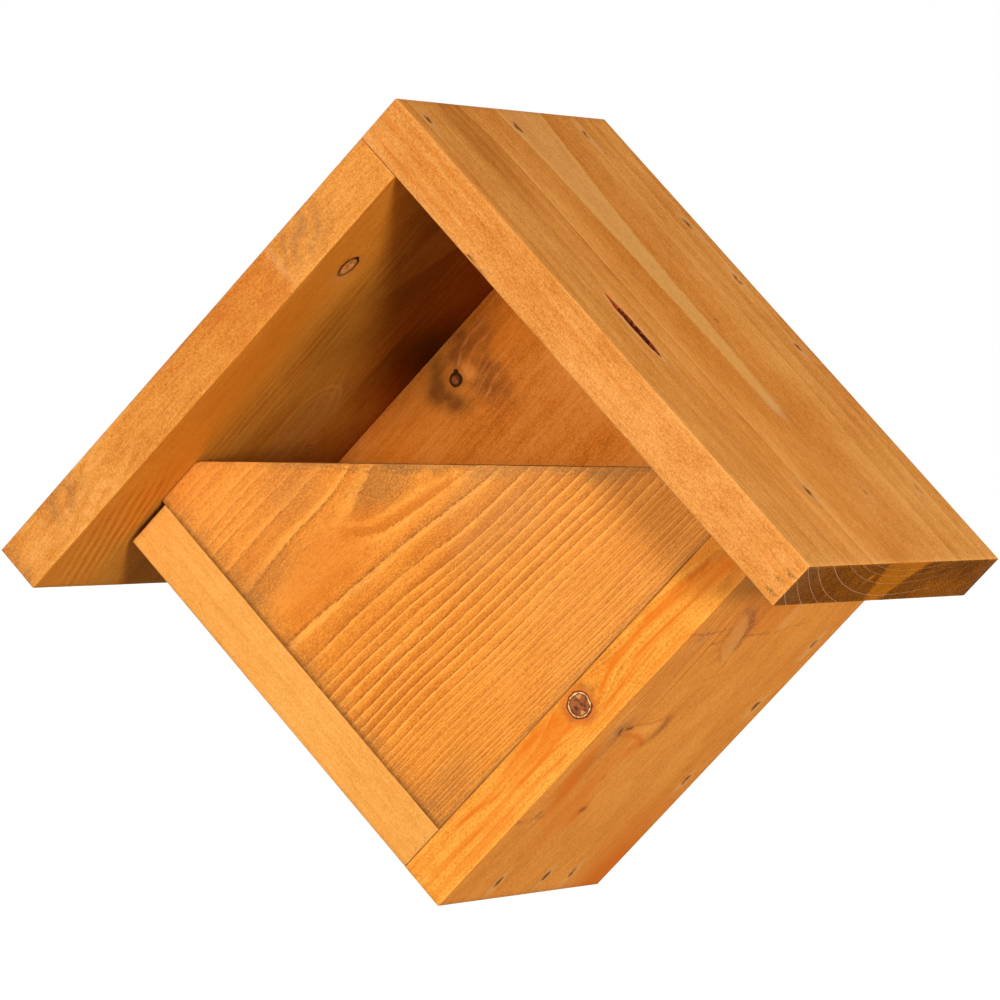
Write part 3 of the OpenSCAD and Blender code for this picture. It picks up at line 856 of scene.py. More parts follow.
def paintRoofLeft(skin):
    a, b, c = skin.a, skin.b, skin.c
    under, front = facing(-skin.nc), facing(-skin.nb)

    # underside: rings show where they bend towards the knot, and hardly elsewhere; pale lines along the grain,
    # and a closed pair round the swirl
    wavy = oval(a, b, (112.0, 47.0), (56.0, 15.0))
    swirl = oval(a, b, (80.0, 86.0), (24.0, 18.0))
    pale, deep = 0, 0
    for k, level in enumerate(roofLeftBoard["paleLines"]):
        off = b - level - 1.1 * noise(85, a / 22) - 0.5 * noise(85 + k, a / 9)
        pale = pale + bell(off, 0.42) * (0.6 + 0.4 * noise(90 + k, a / 12))
        deep = deep + bell(off + 1.0, 0.7)
    ovalFar = np.hypot((a - 83.0) / 15.0, (b - 84.5) / 13.0) + 0.05 * noise(91, a / 7, b / 7)
    closed = bell(ovalFar - 1.0, 0.045) + 0.6 * bell(ovalFar - 0.72, 0.045)
    closed = closed * (0.6 + 0.8 * rise(a, 84, 94)) * (a > 66)
    skin.show *= 1 - under * (1 - capped(0.12 + 0.5 * wavy + 0.6 * swirl))

    # a darker band behind a sharp border, deepened towards the ridge as painted shade; painted shade in the
    # corner by the ridge, deeper under the roof and along the edge of the right roof board's shadow; a paler
    # wedge with one sharp side, and thin lines along the grain in the corner
    behind = rise(b + 0.3 * noise(92, a / 5), 100.4, 101.6) * span(a, 50.0, 125.0, 18.0)
    # painted shade: darker towards the corner by the ridge
    corner = rise(a + 0.77 * b, 180.0, 220.0)
    wedge = (rise(64.3 + 0.83 * (a - 139.7) - b, 0.0, 2.4) * rise(b - 57.5 - 0.13 * (a - 151.4), -3.0, 3.0)
             * rise(a, 132.0, 144.0))
    thin = bell((b - 0.06 * (a - 120.0) - 1.2 * noise(98, a / 16)) % 5.2 - 2.6, 0.5)
    thin = thin * span(b, 86.0, 114.0, 3.0) * span(a, 116.0, 168.0, 8.0)
    mottled = noise(97, a / 2.4, b / 3.0)
    swirlFar = np.hypot((a - 64.0) / 7.5, (b - 103.0) / 9.0)
    swirled = capped(bell(swirlFar - 0.8, 0.16) * (0.6 + 0.6 * mottled))
    bleached = 0.24 * oval(a, b, (79.0, 88.0), (20.0, 15.0)) * (1 - behind)
    fromKnot, overKnot = a - roofLeftTree["knots"][0]["a"], b - roofLeftTree["knots"][0]["b"]
    # painted highlight: pale patches on the lip left of the first knot and just below it
    knotHighlight = capped(ovals(fromKnot, overKnot, (1, (-5, 0), (3, 4.5), 0.6), (1, (0.5, -2), (2.6, 1), 0.6)))
    # painted shade: the ridge corner, and the band behind the border deepened towards the ridge; less on the
    # wedge and thin lines
    corners = (0.37 * corner + 0.42 * behind * rise(a, 84, 120)) * (1 - 0.4 * wedge - 0.25 * thin)
    # painted shade: darker deeper under the roof, from b = 30 inwards
    inwards = (0.12 + 0.12 * rise(b, 48.0, 62.0) * (1 - rise(a, 116, 134))) * rise(b, 30.0, 46.0)
    slant = np.sin((b + 0.42 * a) * 1.25 + 2.0 * noise(81, a / 12, b / 12))
    saw = noise(84, a / 2.2, b / 60)
    # light: pale lines, the wedge and thin lines; darker on the band behind the border, and painted shade in
    # the ridge corner
    skin.light += under * (
        wavy * (1.1 * pale - 0.35 * deep) + closed + 0.5 * wedge + 0.45 * thin - 0.22 * behind - 0.30 * corner
        + 0.55 * slant * oval(a, b, (28, 21), (26, 15)) - 0.12 * oval(a, b, (22, 8), (24, 8), 0.6)
        + 0.10 * saw * oval(a, b, (80, 14), (60, 14)))
    skin.orange += under * ovals(a, b, (0.4, (80, 20), (44, 17), 0.7), (0.3, (140, 14), (40, 14), 0.8))
    skin.grey += under * (ovals(a, b, (0.2, (63, 104), (10, 7), 0.6), (0.18, (8, 74), (16, 26), 0.7))
                          + 0.22 * oval(a, b, (80, 88), (20, 15), 0.4) * (1 - behind))
    skin.pale = strongest(skin.pale, under * bleached, under * 0.5 * swirled, under * 0.7 * knotHighlight)
    # dark: mottles by the buried knot, and painted shade from the corners, from deeper under the roof and from
    # an oval along the edge of the right roof board's shadow
    skin.dark = np.maximum(skin.dark, under * (
        0.2 * oval(a, b, (61.0, 105.0), (5.0, 5.6), 0.8) * (0.6 + 0.7 * mottled) + corners + inwards
        + 0.26 * oval(a, b, (130.0, 62.0), (24.0, 30.0), 0.6)))

    # front edge: a darker middle that ends sharply, slanting fibres towards the eave, and a streaky haze
    patch = rise(a + 4.0 * noise(82, c / 4, a / 9), 62.0, 84.0)
    patch = patch * (1 - rise(a + 0.8 * noise(82, c / 2), 140.6, 142.4))
    darker = patch * (0.35 + 0.65 * rise(a, 92, 120)) + 0.4 * oval(a, c, (62.0, 9.0), (12.0, 9.0), 0.6)
    fibres = noise(83, (c - 0.32 * a) / 1.1, (a + c) / 16) * 1.6
    haze = (ovals(a, c, (1, (29.0, 13.0), (9.0, 5.0), 0.7), (1, (156.0, 11.0), (12.0, 7.0), 0.7))
            + 0.7 * (1 - rise(a + noise(78, c / 3), 2.0, 6.0)))
    streaky = 0.65 + 0.5 * np.sin((c + 0.30 * a) * 2.9 + 3.0 * noise(79, a / 8, c / 4))
    skin.light += front * (-0.62 * darker + 0.30 * span(a, 8, 60, 8) - 0.38 * span(a, 8.0, 62.0, 8.0) * fibres
                           + 0.12 * rise(a, 144, 160))
    skin.orange += front * 0.14 * darker
    skin.grey += front * 0.62 * haze * streaky
    skin.pale = np.maximum(skin.pale, front * 0.35 * oval(a, c, (142.9, 9.0), (1.2, 9.0), 0.8))
    skin.show *= 1 - 0.8 * front


# Lower right side: a knot in its front edge that comes out again as a long spike on the outer face
sideRightBoard = {
    "length": insideW + boardT, "width": boxDepth, "start": (-boardT, 0, 0),
    "along": (1, 0, 0), "across": (0, 1, 0), "out": (0, 0, -1),
    "brads": ("side_right_back_brads", "front_panel_right_brads", "bottom_corner_brads"),
    "faintMarks": ((44.0, 9.0), (86.0, 9.0), (129.0, 9.0)),
    "stepA": 2.4, "stepB": 2.2, "stepC": 1.5, "spotsA": (np.arange(70, 96, 0.7), np.arange(112, 142, 1.0)),
    "spotsB": (np.arange(8, 52, 0.7),),
}
sideRightTree = {
    "path": ((0, 52.0, -33.5), (60, 52.0, -33.8), (100, 52.5, -34.6), (120, 53.0, -34.4), (170, 50.0, -32.6)),
    "wobble": (0.5, 60.0, 24.0), "seed": 5, "levels": (40.0, 46.0, 52.0, 56.0, 59.0, 61.0), "ringWidth": 1.0,
    "knots": ({"a": 84.9, "b": 0.0, "c": 6.5, "run": (0.94, 0.34), "radius": 4.5, "spindle": 3.0,
               "deep": 14.0, "uneven": 0.08},),
}


def paintSideRight(skin):
    a, b, c = skin.a, skin.b, skin.c
    face, front = facing(skin.nc), facing(-skin.nb)
    ragged = noise(91, a / 1.8, b / 1.4, c)

    # outer face: fine rings show only near the front, on both sides of the spike
    wavy = ovals(a, b, (1, (113, 12), (30, 12)), (0.6, (66, 15), (18, 7)))
    skin.show *= 1 - face * (1 - np.clip(0.06 + 1.6 * wavy, 0, 1.5))
    skin.orange += face * (0.85 * oval(a, b - 0.30 * (60 - a), (60.0, 14.0), (17.0, 5.5), 0.7) + ovals(
        a, b, (0.85, (0, 118), (20, 14), 0.8), (0.45, (20, 108), (26, 16), 0.8),
        (0.50, (46, 35), (16, 6), 0.8), (0.55, (73.5, 38), (4.5, 4), 0.8), (0.30, (62, 30), (14, 5), 0.8),
        (0.30, (140, 46), (12, 18), 0.7)))

    # the spike: a club that widens away from the front, with a purple-brown crescent round its blunt end and a
    # dark split nub at its tip, in a grey smear that follows the grain
    t = capped((b - 17.0) / 28.0)
    fromMiddle = a - (84.6 - 1.8 * t)
    wide = 1.4 + 2.2 * t + 3.0 * rise(t, 0.6, 1.0)
    club = (1 - rise(np.abs(fromMiddle + 0.5 * ragged), wide * 0.75, wide * 1.1)) * span(b, 17, 45, 1.5)
    side = bell(fromMiddle + wide + 0.8 + 0.4 * ragged, 1.3) * span(b, 20, 44, 2.0)
    farSide = bell(fromMiddle - wide - 0.4 * ragged, 0.9) * span(b, 22, 44, 3.0)
    far = np.hypot((a - 82.8) / 7.4, (b - 42.5) / 6.0) + 0.06 * ragged
    crescent = bell(far - 0.84, 0.30) * rise(b, 39, 45) * (0.8 + 0.35 * ragged)
    split = stroke(a, b, (82.0, 17.2), (84.4, 15.6), 0.75)
    nub = split + 0.9 * stroke(a, b, (84.6, 19.5), (84.9, 22.5), 0.9)
    curl = bell(np.hypot((a - 85.4) / 2.2, (b - 13.4) / 1.5) - 1.0, 0.3)
    smear = ovals(a, b, (0.55, (84.0, 16.5), (5.5, 6.5), 0.9), (0.33, (75.0, 15.5), (11.0, 3.5), 0.8),
                  (0.60, (84.2, 46.0), (5.4, 3.0), 0.6))
    skin.light += face * (0.20 * club + 0.25 * oval(a, b, (84.0, 34.0), (3.0, 9.0), 0.6))
    skin.grey += face * (0.50 * crescent + smear + 0.30 * farSide)
    skin.orange += face * (0.65 * side + 0.25 * crescent + 0.3 * farSide)
    skin.dark = np.maximum(skin.dark, face * capped(1.1 * nub + 0.35 * curl + 0.06 * crescent))
    skin.height -= 0.35 * face * stroke(a, b, (82.0, 17.2), (84.4, 15.6), 0.5)

    # a closed figure, faint cracks across the grain and small blemishes
    arc = np.hypot((a - 122.0) / 21.0, (b - 26.0) / 19.0) + 0.04 * ragged
    sector = rise(a, 112, 122) * rise(b - 0.1 * (140 - a), 22, 32)
    arcs = (bell(arc - 1.0, 0.05) + 0.5 * bell(arc - 1.18, 0.05)) * sector
    cracks = capped(
        stroke(a, b, (58.0, 64.0), (59.5, 104.0), 0.5) * (0.5 + 0.7 * noise(92, b / 5, a / 9))
        + stroke(a, b, (129.8, 12.5), (132.3, 29.0), 0.45) * (0.6 + 0.6 * noise(93, b / 4, a / 9))
        + strokes(a, b, (1, 0.45, (40.5, 0), (42.5, 18)), (1, 0.7, (41, 11), (45.5, 12.5)),
                  (1, 0.5, (130.3, 0), (129.8, 12.5)), (1, 0.8, (127.5, 10.5), (131.5, 13)),
                  (1, 0.6, (124.6, 22.5), (125.6, 28)), (0.8, 0.5, (128, 44), (128.6, 63)),
                  (0.7, 0.5, (129.3, 67), (133.3, 84))))
    whorl = capped(strokes(
        a, b, (1, 1.4, (141, 26), (138.7, 34.3)), (1, 1.8, (138.7, 34.3), (132.3, 42.2)),
        (0.9, 1.4, (132.3, 42.2), (122.3, 46.8)), (0.5, 0.9, (122.3, 46.8), (113, 49.5)),
        (0.4, 0.8, (136.6, 25.7), (122.3, 33.6)), (0.4, 0.7, (122.3, 33.6), (114.4, 46))))
    patch = oval(a, b - 0.75 * (128.0 - a), (128.0, 37.5), (11.5, 4.6))
    streak = strokes(a, b, (1, 0.9, (130.6, 66.2), (141.0, 66.4)), (0.6, 1.6, (131.5, 68.5), (142.0, 69.5)))
    skin.pale = np.maximum(skin.pale, face * capped(0.8 * streak + 0.45 * patch))
    skin.grey += face * (0.30 * arcs + 0.75 * cracks + 0.95 * whorl
                         + 0.15 * oval(a, b, (133, 38), (14, 13), 0.4))
    skin.light += face * (0.14 * oval(a, b, (92.0, 70.0), (64.0, 26.0), 0.7)
                          - 0.42 * oval(a, b + 0.5 * (a - 138.0), (139.0, 47.0), (10.0, 9.0), 0.7))
    spots = ovals(a, b, (0.60, (43.8, 44.6), (1.5, 2.3)), (0.36, (59.5, 37.0), (1.0, 1.2), 0.6))
    skin.orange += 0.7 * face * oval(a, b, (42.0, 43.6), (6.0, 3.0), 0.8)

    # front edge: bright, with dark orange streaks that part round the knot, soft brown smears beside it, and
    # painted shade towards its top end, under the roof's eave
    flames = strokes(
        a, c, (0.9, 0.9, (93, 8.5), (103, 5)), (1, 1.1, (103, 5), (124, 3.5)),
        (1.1, 1.5, (124, 3.5), (150, 5.8)), (0.7, 0.7, (91, 13), (118, 12)),
        (0.6, 0.6, (110, 9), (150, 11)), (0.8, 0.9, (77.5, 9), (52, 9.4)),
        (0.7, 0.9, (52, 9.4), (24, 3)), (0.6, 0.7, (70, 14.5), (30, 13)), (0.5, 0.8, (40, 12), (6, 9)),
        (0.6, 1.2, (78, 3.5), (60, 2.5)))
    skin.orange += front * (0.45 * rise(noise(94, a / 30, skin.radius / 0.7), 0.05, 0.6)
                            + capped(flames * (0.75 + 0.9 * noise(95, a / 14, skin.radius / 0.32)))
                            + ovals(a, c, (0.35, (66, 5), (22, 3.5), 0.8), (0.45, (160, 13), (16, 5), 0.8)))
    beside = strokes(a, c, (1, 1.3, (89.6, 1.8), (92, 6)), (0.7, 1.2, (80.2, 3), (79.6, 8)),
                     (0.5, 0.7, (90.5, 7.5), (96, 5)), (0.6, 0.6, (81.5, 12), (88, 12.3)))
    smudges = strokes(a, c, (1, 1.6, (148, 15.5), (158, 14)), (0.8, 2, (143, 3), (157, 7)))
    skin.dark = strongest(skin.dark, face * (0.10 * cracks * (0.8 + 0.5 * ragged) + 0.05 * whorl),
                          face * spots, front * 0.42 * capped(beside) * (0.8 + 0.4 * ragged),
                          front * 0.38 * capped(smudges) * (0.7 + 0.5 * ragged))
    # painted shade: the front edge darkens from a = 140 up, under the eave of the right roof board
    skin.light += front * (0.22 + 0.25 * oval(a, c, (112.0, 8.0), (16.0, 3.5), 0.8)
                           - 0.3 * rise(a, 140.0, 165.0))
    skin.show *= 1 - front * (0.80 - 0.35 * oval(a, c, (88.0, 8.0), (34.0, 11.0), 0.8))


# Lower left side: plain straight wood
sideLeftBoard = {
    "length": leftSideTop, "width": boxDepth, "start": (0, 0, 0),
    "along": (0, 0, 1), "across": (0, 1, 0), "out": (-1, 0, 0),
    "brads": ("side_left_back_brads", "front_panel_left_brads"), "relief": 0.035,
}
sideLeftTree = {
    "path": ((0, 66.0, -58.0), (75, 67.5, -56.5), (150, 69.0, -55.0)),
    "wobble": (0.8, 60.0, 24.0), "seed": 8, "levels": (60.0, 62.6), "ringWidth": 3.1,
    "knots": ({"a": 96.0, "b": 74.0, "c": 18.0, "run": (0, 1), "radius": 3.4, "spindle": 3.0},),
}


def paintSideLeft(skin):
    a, c = skin.a, skin.c
    front = facing(-skin.nb)
    frayed = 1 - rise(a + 0.8 * noise(96, c / 1.2, a / 4), 0.2, 1.4)
    skin.show *= 1 - 0.8 * front
    skin.light += front * (0.1 - 0.15 * (1 - rise(a, 8.0, 40.0)))
    skin.grey += front * 0.5 * frayed


# Front panel: rough sawn, with strong ridges, a frayed sawn edge and dirt in its corner
frontBoard = {
    "length": insideW, "width": insideW, "start": (0, boardT, 0), "cut": levelCut,
    "along": (1, 0, 0), "across": (0, 0, 1), "out": (0, -1, 0),
    "stepA": 2.0, "stepB": 0.5, "stepC": 1.6, "relief": 0.085, "rough": 0.03, "sink": 0.04,
}
frontTree = {
    "path": ((0, 95.3, -62.40), (26, 95.0, -62.11), (48, 93.5, -61.93), (95, 92.5, -60.47),
             (152, 92.0, -58.8)),
    "wobble": (0.25, 40.0, 16.0), "sway": (0.5, 30.0, 12.0), "seed": 13, "inward": True,
    "humps": ((-0.4, (80.0, 63.0), (34.0, 9.0)),),
    "levels": (77.2, 78.6, 80.05, 81.24, 83.4, 85.5, 86.8, 88.1, 89.7, 91.5, 93.5, 95.2, 97.0, 98.7, 100.9),
    "ringWidth": 1.9, "unevenRings": 1.1, "narrow": (101.0, 107.0, 0.55),
}


def paintFront(skin):
    a, b, c = skin.a, skin.b, skin.c
    face = facing(skin.nc)
    ragged = noise(101, a / 4.0, b / 1.2, c)
    patchy = 0.5 + 0.5 * noise(102, a / 14, b / 6, c)
    sawFar = (skin.top - b) * half + 2.2 * ragged  # distance from the sawn edge, square to it
    fringe = (1 - rise(sawFar, 0.0, 3.0 + 7.0 * rise(a, 50, 110) * patchy)) * (skin.top < insideW)

    # dirt: along the sawn edge, in the lower corner, along the sides and in loose patches and strokes
    skin.grey += face * (
        0.85 * fringe * (0.35 + 0.65 * rise(a, 30, 60)) + 0.55 * (1 - rise(b + 0.9 * ragged, 0.3, 3.4))
        + 0.62 * (1 - rise(a + 2.0 * ragged, 2.0, 8.5)) * (0.55 + 0.45 * patchy)
        + 0.80 * oval(a, b + 0.2 * (a - 62), (65.0, 97.0), (12.0, 7.0), 0.6)
        + ovals(a, b, (0.50, (13, 8), (13, 7), 0.7), (0.50, (10, 104), (14, 5), 0.7),
                (0.30, (82, 73), (12, 3), 0.7), (0.30, (92, 55), (26, 7), 0.7),
                (0.35, (40, 121), (12, 10), 0.7))
        + 0.55 * stroke(a, b, (30.0, 79.0), (70.0, 76.0), 1.0) * (0.6 + 0.5 * patchy)
        + 0.45 * stroke(a, b, (40.0, 72.0), (100.0, 66.0), 0.8) * patchy)

    # a smooth orange patch, under it a bright line with a nose, and a deeper orange below the nose
    smooth = oval(a, b, (30.0, 92.0), (26.0, 9.0))
    nose = strokes(a, b, (1, 1.1, (46, 96), (52, 90.8), (62, 87.6)), (1, 1.2, (62, 87.6), (74, 84.8)),
                   (0.8, 1.2, (74, 84.8), (89, 79.6)), (0.9, 1.1, (46, 96), (50, 100.4)),
                   (0.7, 1.3, (50, 100.4), (66, 106)))
    nose = face * capped(nose) * (0.8 + 0.4 * ragged)
    below = face * strokes(a, b, (1, 1.6, (54, 86.6), (66, 83.6), (82, 79.6)))
    uneven = 1.05 + 0.5 * span(b, 27, 62, 4)
    uneven = uneven + 0.50 * noise(103, a / 45, b / 2.6) + 0.25 * noise(104, a / 20, b / 12)
    calm = 0.30 * rise(b, 130, 136) + 0.15 * span(b, 8, 25, 3) + 0.30 * rise(b, 98, 104)
    washed = (0.22 * rise(a - 0.3 * b, 30, 90)
              + ovals(a, b, (0.14, (24, 126), (34, 26)), (0.12, (84, 62), (20, 14), 0.6)))
    joint = bell(b, 0.45) + bell(a, 0.5) * (b > 0.4)  # the glue line against the two sides
    skin.show *= (1 - capped(nose)) * (1 - 0.6 * face * smooth) * (1 - face * capped(calm))
    skin.show *= np.clip(uneven, 0.2, 1.9)
    skin.grey *= 1 - 0.9 * capped(nose)
    # the last oval is a faint painted shade on the right, under the right roof board's overhang
    skin.light += nose + face * (ovals(a, b, (0.20, (16, 132), (22, 16), 0.6), (0.10, (70, 18), (60, 18), 0.8),
                                       (-0.04, (134, 22), (13, 15), 0.7)) - 0.12 * smooth)
    skin.orange += face * 0.50 * smooth + 0.45 * below
    skin.pale = np.maximum(skin.pale, face * np.clip(washed, 0, 0.6) * (0.7 + 0.5 * patchy))
    skin.dark = np.maximum(skin.dark, 0.9 * capped(joint) * (skin.nc > 0) * (0.8 + 0.3 * ragged))
    skin.height -= 0.12 * capped(fringe) * (0.5 + 0.5 * ragged) * face


# Back panel: one small knot, with a dark smudge on its left and flowing pale lines over brown patches on its
# right; painted light lifts its lower right, and painted shade darkens a patch near its top
holeAt = insideW - 30.0 * half  # 30 mm down from the inside of the ridge
backBoard = {
    "hole": {"a": holeAt, "b": holeAt, "radius": 3.0, "ease": 0.25, "reach": 10.0, "rings": 9},
    "length": insideW, "width": insideW, "start": (0, boxDepth, 0),
    "along": (1, 0, 0), "across": (0, 0, 1), "out": (0, -1, 0), "relief": 0.03,
    "spotsA": (np.arange(60, 100, 0.9), np.arange(122, 140, 0.6)), "spotsB": (np.arange(114, 150, 0.42),),
    # height beside the knot, drop towards it and strength of each pale line
    "flowLines": ((7.3, 5.0, 1.0), (2.7, 5.0, 1.0), (-1.6, 4.5, 0.5), (-4.4, 4.0, 0.8), (-6.6, 3.0, 0.7),
                  (-10.3, 2.4, 0.9), (-15.5, 1.6, 0.8), (-23.0, 0.6, 0.6)),
}
backTree = {
    "path": ((0, 84.0, -58.0), (76, 84.0, -56.5), (152, 84.0, -55.0)),
    "wobble": (0.8, 60.0, 24.0), "seed": 17, "levels": (80.0, 83.2), "ringWidth": 3.2,
    "knots": ({"a": 71.7, "b": 139.8, "c": 18.0, "run": (0, 1), "radius": 2.6, "nub": (2.1, 1.9, 1.0),
               "spindle": 3.0},),
}


def paintBack(skin):
    a, b, c = skin.a, skin.b, skin.c
    face = facing(skin.nc)
    ragged = noise(111, a / 3.0, b / 1.5, c)
    fromKnot, overKnot = a - backTree["knots"][0]["a"], b - backTree["knots"][0]["b"]

    # dark smudge in an arc on the left of the knot
    smudge = strokes(fromKnot, overKnot, (1, 4.2, (-1.6, 8.2), (-7.6, 2.4)),
                     (0.9, 4.2, (-9.0, 0.4), (-5.8, -5.4)), (0.5, 3.2, (-5.4, -6.0), (-2.4, -9.4)))
    skin.dark = np.maximum(skin.dark, face * 0.74 * capped(0.9 * smudge * (0.86 + 0.16 * ragged)))

    # pale lines start low beside the knot, climb and level out; brown patches lie between them
    lines = 0
    for level, drop, strength in backBoard["flowLines"]:
        off = overKnot - level + drop * (1 - rise(fromKnot, 1.0, 14.0)) + 0.5 * ragged
        lines = lines + strength * bell(off, 0.46) * (0.75 + 0.5 * ragged)
    lines = capped(lines) * rise(fromKnot, 2.5, 5.0) * (1 - rise(fromKnot, 18.0, 30.0))
    patches = ovals(fromKnot, overKnot, (1, (9.0, -2.0), (7.5, 17.0)), (0.6, (16, 5), (9, 6), 0.6))
    clearing = oval(fromKnot, overKnot, (5.4, -1.4), (2.8, 3.6), 0.6)
    brown = capped(patches) * (1 - clearing) * (0.75 + 0.4 * noise(112, a / 4, b / 3, c))
    skin.show *= 1 - 0.75 * face
    skin.grey += face * 0.80 * brown * (1 - 0.8 * lines)
    skin.pale = np.maximum(skin.pale, face * 0.5 * lines)
    skin.orange += face * ovals(a, b, (0.45, (92, 140), (16, 9), 0.8), (0.35, (40, 136), (26, 16), 0.8))
    # painted light: lighter towards the lower right, where the right roof board's shadow falls; painted shade:
    # darker in a patch near the top, in the roof's shadow
    skin.light += face * (0.20 * lines + 0.45 * clearing - 0.1 * brown
                          + 0.35 * rise(a, 70.0, 120.0) * (1 - rise(b, 110, 140))
                          - 0.30 * rise(a, 74.0, 92.0) * rise(b, 118, 134))


looks = {
    "roofRight": dict(
        plainLook, gloss=0.07, high=rgb(236, 164, 88), mid=rgb(216, 139, 61), low=rgb(186, 103, 29),
        gain=(1.14, 1.14, 1.04, 1), edgeGain=(0.84, 0.85, 1.0, 1), endGain=(0.70, 0.54, 0.0, 1),
        ringAmount=0.3, steep=1.3, spread=0.05, vary=0.1, fray=0.05, ridgeWidth=0.03, ridgeAmount=0.7,
        fuzzAmount=1.9, endLine=rgb(196, 152, 118), endFuzz=2.9, endBright=rgb(226, 146, 44),
        bruise=rgb(214, 156, 104), bruiseAmount=0.55, dashAmount=0.26, dashColor=rgb(166, 74, 22),
        resin=rgb(66, 15, 1), resinThin=rgb(186, 72, 6),
    ),
    # the left roof board's gain darkens all its flats: it sets their colour and also paints the shade of the
    # underside under the roof; edgeGain gives the front edge its tone back, and slot also colours the painted
    # shade in the corners
    "roofLeft": dict(
        plainLook, gloss=0.05, gain=(0.87, 0.79, 0.55, 1), edgeGain=(1.135, 1.23, 2.19, 1),
        bruise=rgb(228, 160, 112), low=rgb(186, 100, 32), orange=rgb(212, 122, 28), slot=rgb(74, 56, 4),
        coreAmount=0.6, core=rgb(240, 180, 126), coreSpeck=rgb(140, 80, 44), coreSpot=rgb(226, 168, 118),
        collarAmount=0.0, seamAmount=0.3, coreEdge=0.7, knotLine=0.19, rimAmount=1.0, haloAmount=0.2,
        ringAmount=0.35, fray=0.2, fuzzAmount=1.9, bark=rgb(56, 28, 14), grey=rgb(150, 98, 52),
        greyFloor=0.6,
    ),
    "sideRight": dict(
        plainLook, gloss=0.25, gain=(1.28, 1.14, 0.85, 1), edgeGain=(0.87, 0.915, 0.79, 1),
        orange=rgb(206, 108, 2), valleyAmount=1.0, valleyColor=rgb(180, 98, 24), ridgeAmount=0.6,
        ringAmount=0.8, vary=0.6, halo=rgb(190, 94, 30), haloAmount=0.75, knotShadow=1.7,
        collar=rgb(236, 198, 164), collarAmount=0.85, core=rgb(150, 84, 46), coreSpeck=rgb(84, 42, 24),
        coreEdge=0.78, coreSpot=rgb(190, 128, 84), streakAmount=0.3, fibreAmount=0.3, fuzzAmount=2.3,
        grey=rgb(146, 82, 42), slot=rgb(96, 48, 16), bruise=rgb(214, 166, 110), bruiseAmount=0.6,
    ),
    "sideLeft": dict(
        plainLook, edgeGain=(1.10, 1.18, 1.40, 1), fuzzAmount=1.2, cloudAmount=0.4, mottleAmount=0.3,
        streakAmount=0.25, dashAmount=0.2, dashColor=rgb(214, 112, 44),
    ),
    "front": dict(
        plainLook, inward=1.0, ringAmount=0.5, steep=1.4, fray=0.25, vary=0.6, ridgeWidth=0.12,
        ridgeAmount=1.0, valleyWidth=0.2, valleyAmount=1.0, valleyColor=rgb(146, 74, 20),
        ridgeColor=rgb(250, 164, 64), low=rgb(194, 103, 20), mid=rgb(226, 134, 34),
        high=rgb(244, 158, 58), fuzzAmount=2.8, grey=rgb(150, 96, 44), greyFloor=0.3, bump=0.8,
        fuzzBump=1.8, nap=0.36, napLong=2.4, dashAmount=0.55, dashColor=rgb(182, 84, 18),
    ),
    "back": dict(
        plainLook, gloss=0.07, gain=(1.30, 1.34, 1.6, 1), low=rgb(176, 88, 14), mid=rgb(224, 130, 38),
        high=rgb(242, 160, 70), grey=rgb(118, 60, 22), greyFloor=0.8, core=rgb(150, 78, 36),
        coreSpeck=rgb(106, 50, 22), coreSpot=rgb(160, 86, 42), collar=rgb(40, 20, 6), bark=rgb(40, 20, 6),
        coreEdge=0.6, slot=rgb(46, 14, 0), fuzzAmount=1.7, dashAmount=0.05, bruise=rgb(206, 132, 74),
        bruiseAmount=0.7,
    ),
}
boards = (
    ("roofRight", "roof_right", "roof_timber", roofRightBoard, roofRightTree, paintRoofRight),
    ("roofLeft", "roof_left", "roof_timber", roofLeftBoard, roofLeftTree, paintRoofLeft),
    ("sideRight", "side_right", "side_timber", sideRightBoard, sideRightTree, paintSideRight),
    ("sideLeft", "side_left", "side_timber", sideLeftBoard, sideLeftTree, paintSideLeft),
    ("front", "front_panel", "front_timber", frontBoard, frontTree, paintFront),
    ("back", "back_panel", "back_timber", backBoard, backTree, paintBack),
)
for name, node, slotName, board, tree, paint in boards:
    makeBoard(name + "Board", node, board, tree, paint, stainedWood(name + "Wood", looks[name]))
print("boards built")

# Brads: the CAD solids, in bright wire that the stain has dulled
wireLook = {
    "steel": rgb(132, 114, 92), "dull": rgb(84, 60, 38), "rust": rgb(110, 58, 26),
    "patchSize": 900.0, "drawLines": 4000.0, "rustFrom": 0.58, "lineBump": 0.3, "lineDeep": 0.00005,
    "metal": (0.7, 0.2), "rough": (0.35, 0.6),
}


def bradWire():
    material, tree = newMaterial("bradWire")
    spot = flow(tree, "TexCoord", out="Object")
    patches = flow(tree, "TexNoise", {"Vector": spot, "Scale": wireLook["patchSize"], "Detail": 3.0})
    drawn = flow(tree, "TexNoise", {"Vector": spot, "Scale": wireLook["drawLines"], "Detail": 2.0})
    rusty = remap(tree, patches, wireLook["rustFrom"], wireLook["rustFrom"] + 0.1)
    color = blend(tree, wireLook["steel"], (remap(tree, patches, 0.4, 0.62), wireLook["dull"]),
                  (rusty, wireLook["rust"]))
    normal = flow(tree, "Bump", {"Strength": wireLook["lineBump"], "Distance": wireLook["lineDeep"],
                                 "Height": drawn})
    shader = flow(tree, "BsdfPrincipled", {
        "Base Color": color, "Metallic": remap(tree, patches, 0.45, 0.65, *wireLook["metal"]),
        "Roughness": remap(tree, drawn, 0.3, 0.7, *wireLook["rough"]), "Normal": normal,
    })
    add(tree, "OutputMaterial", {"Surface": shader})
    return material


wire = bradWire()
for node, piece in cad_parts.items():
    if node.endswith("brads"):
        for slot in piece.material_slots:
            slot.material = wire
print("brads dressed")

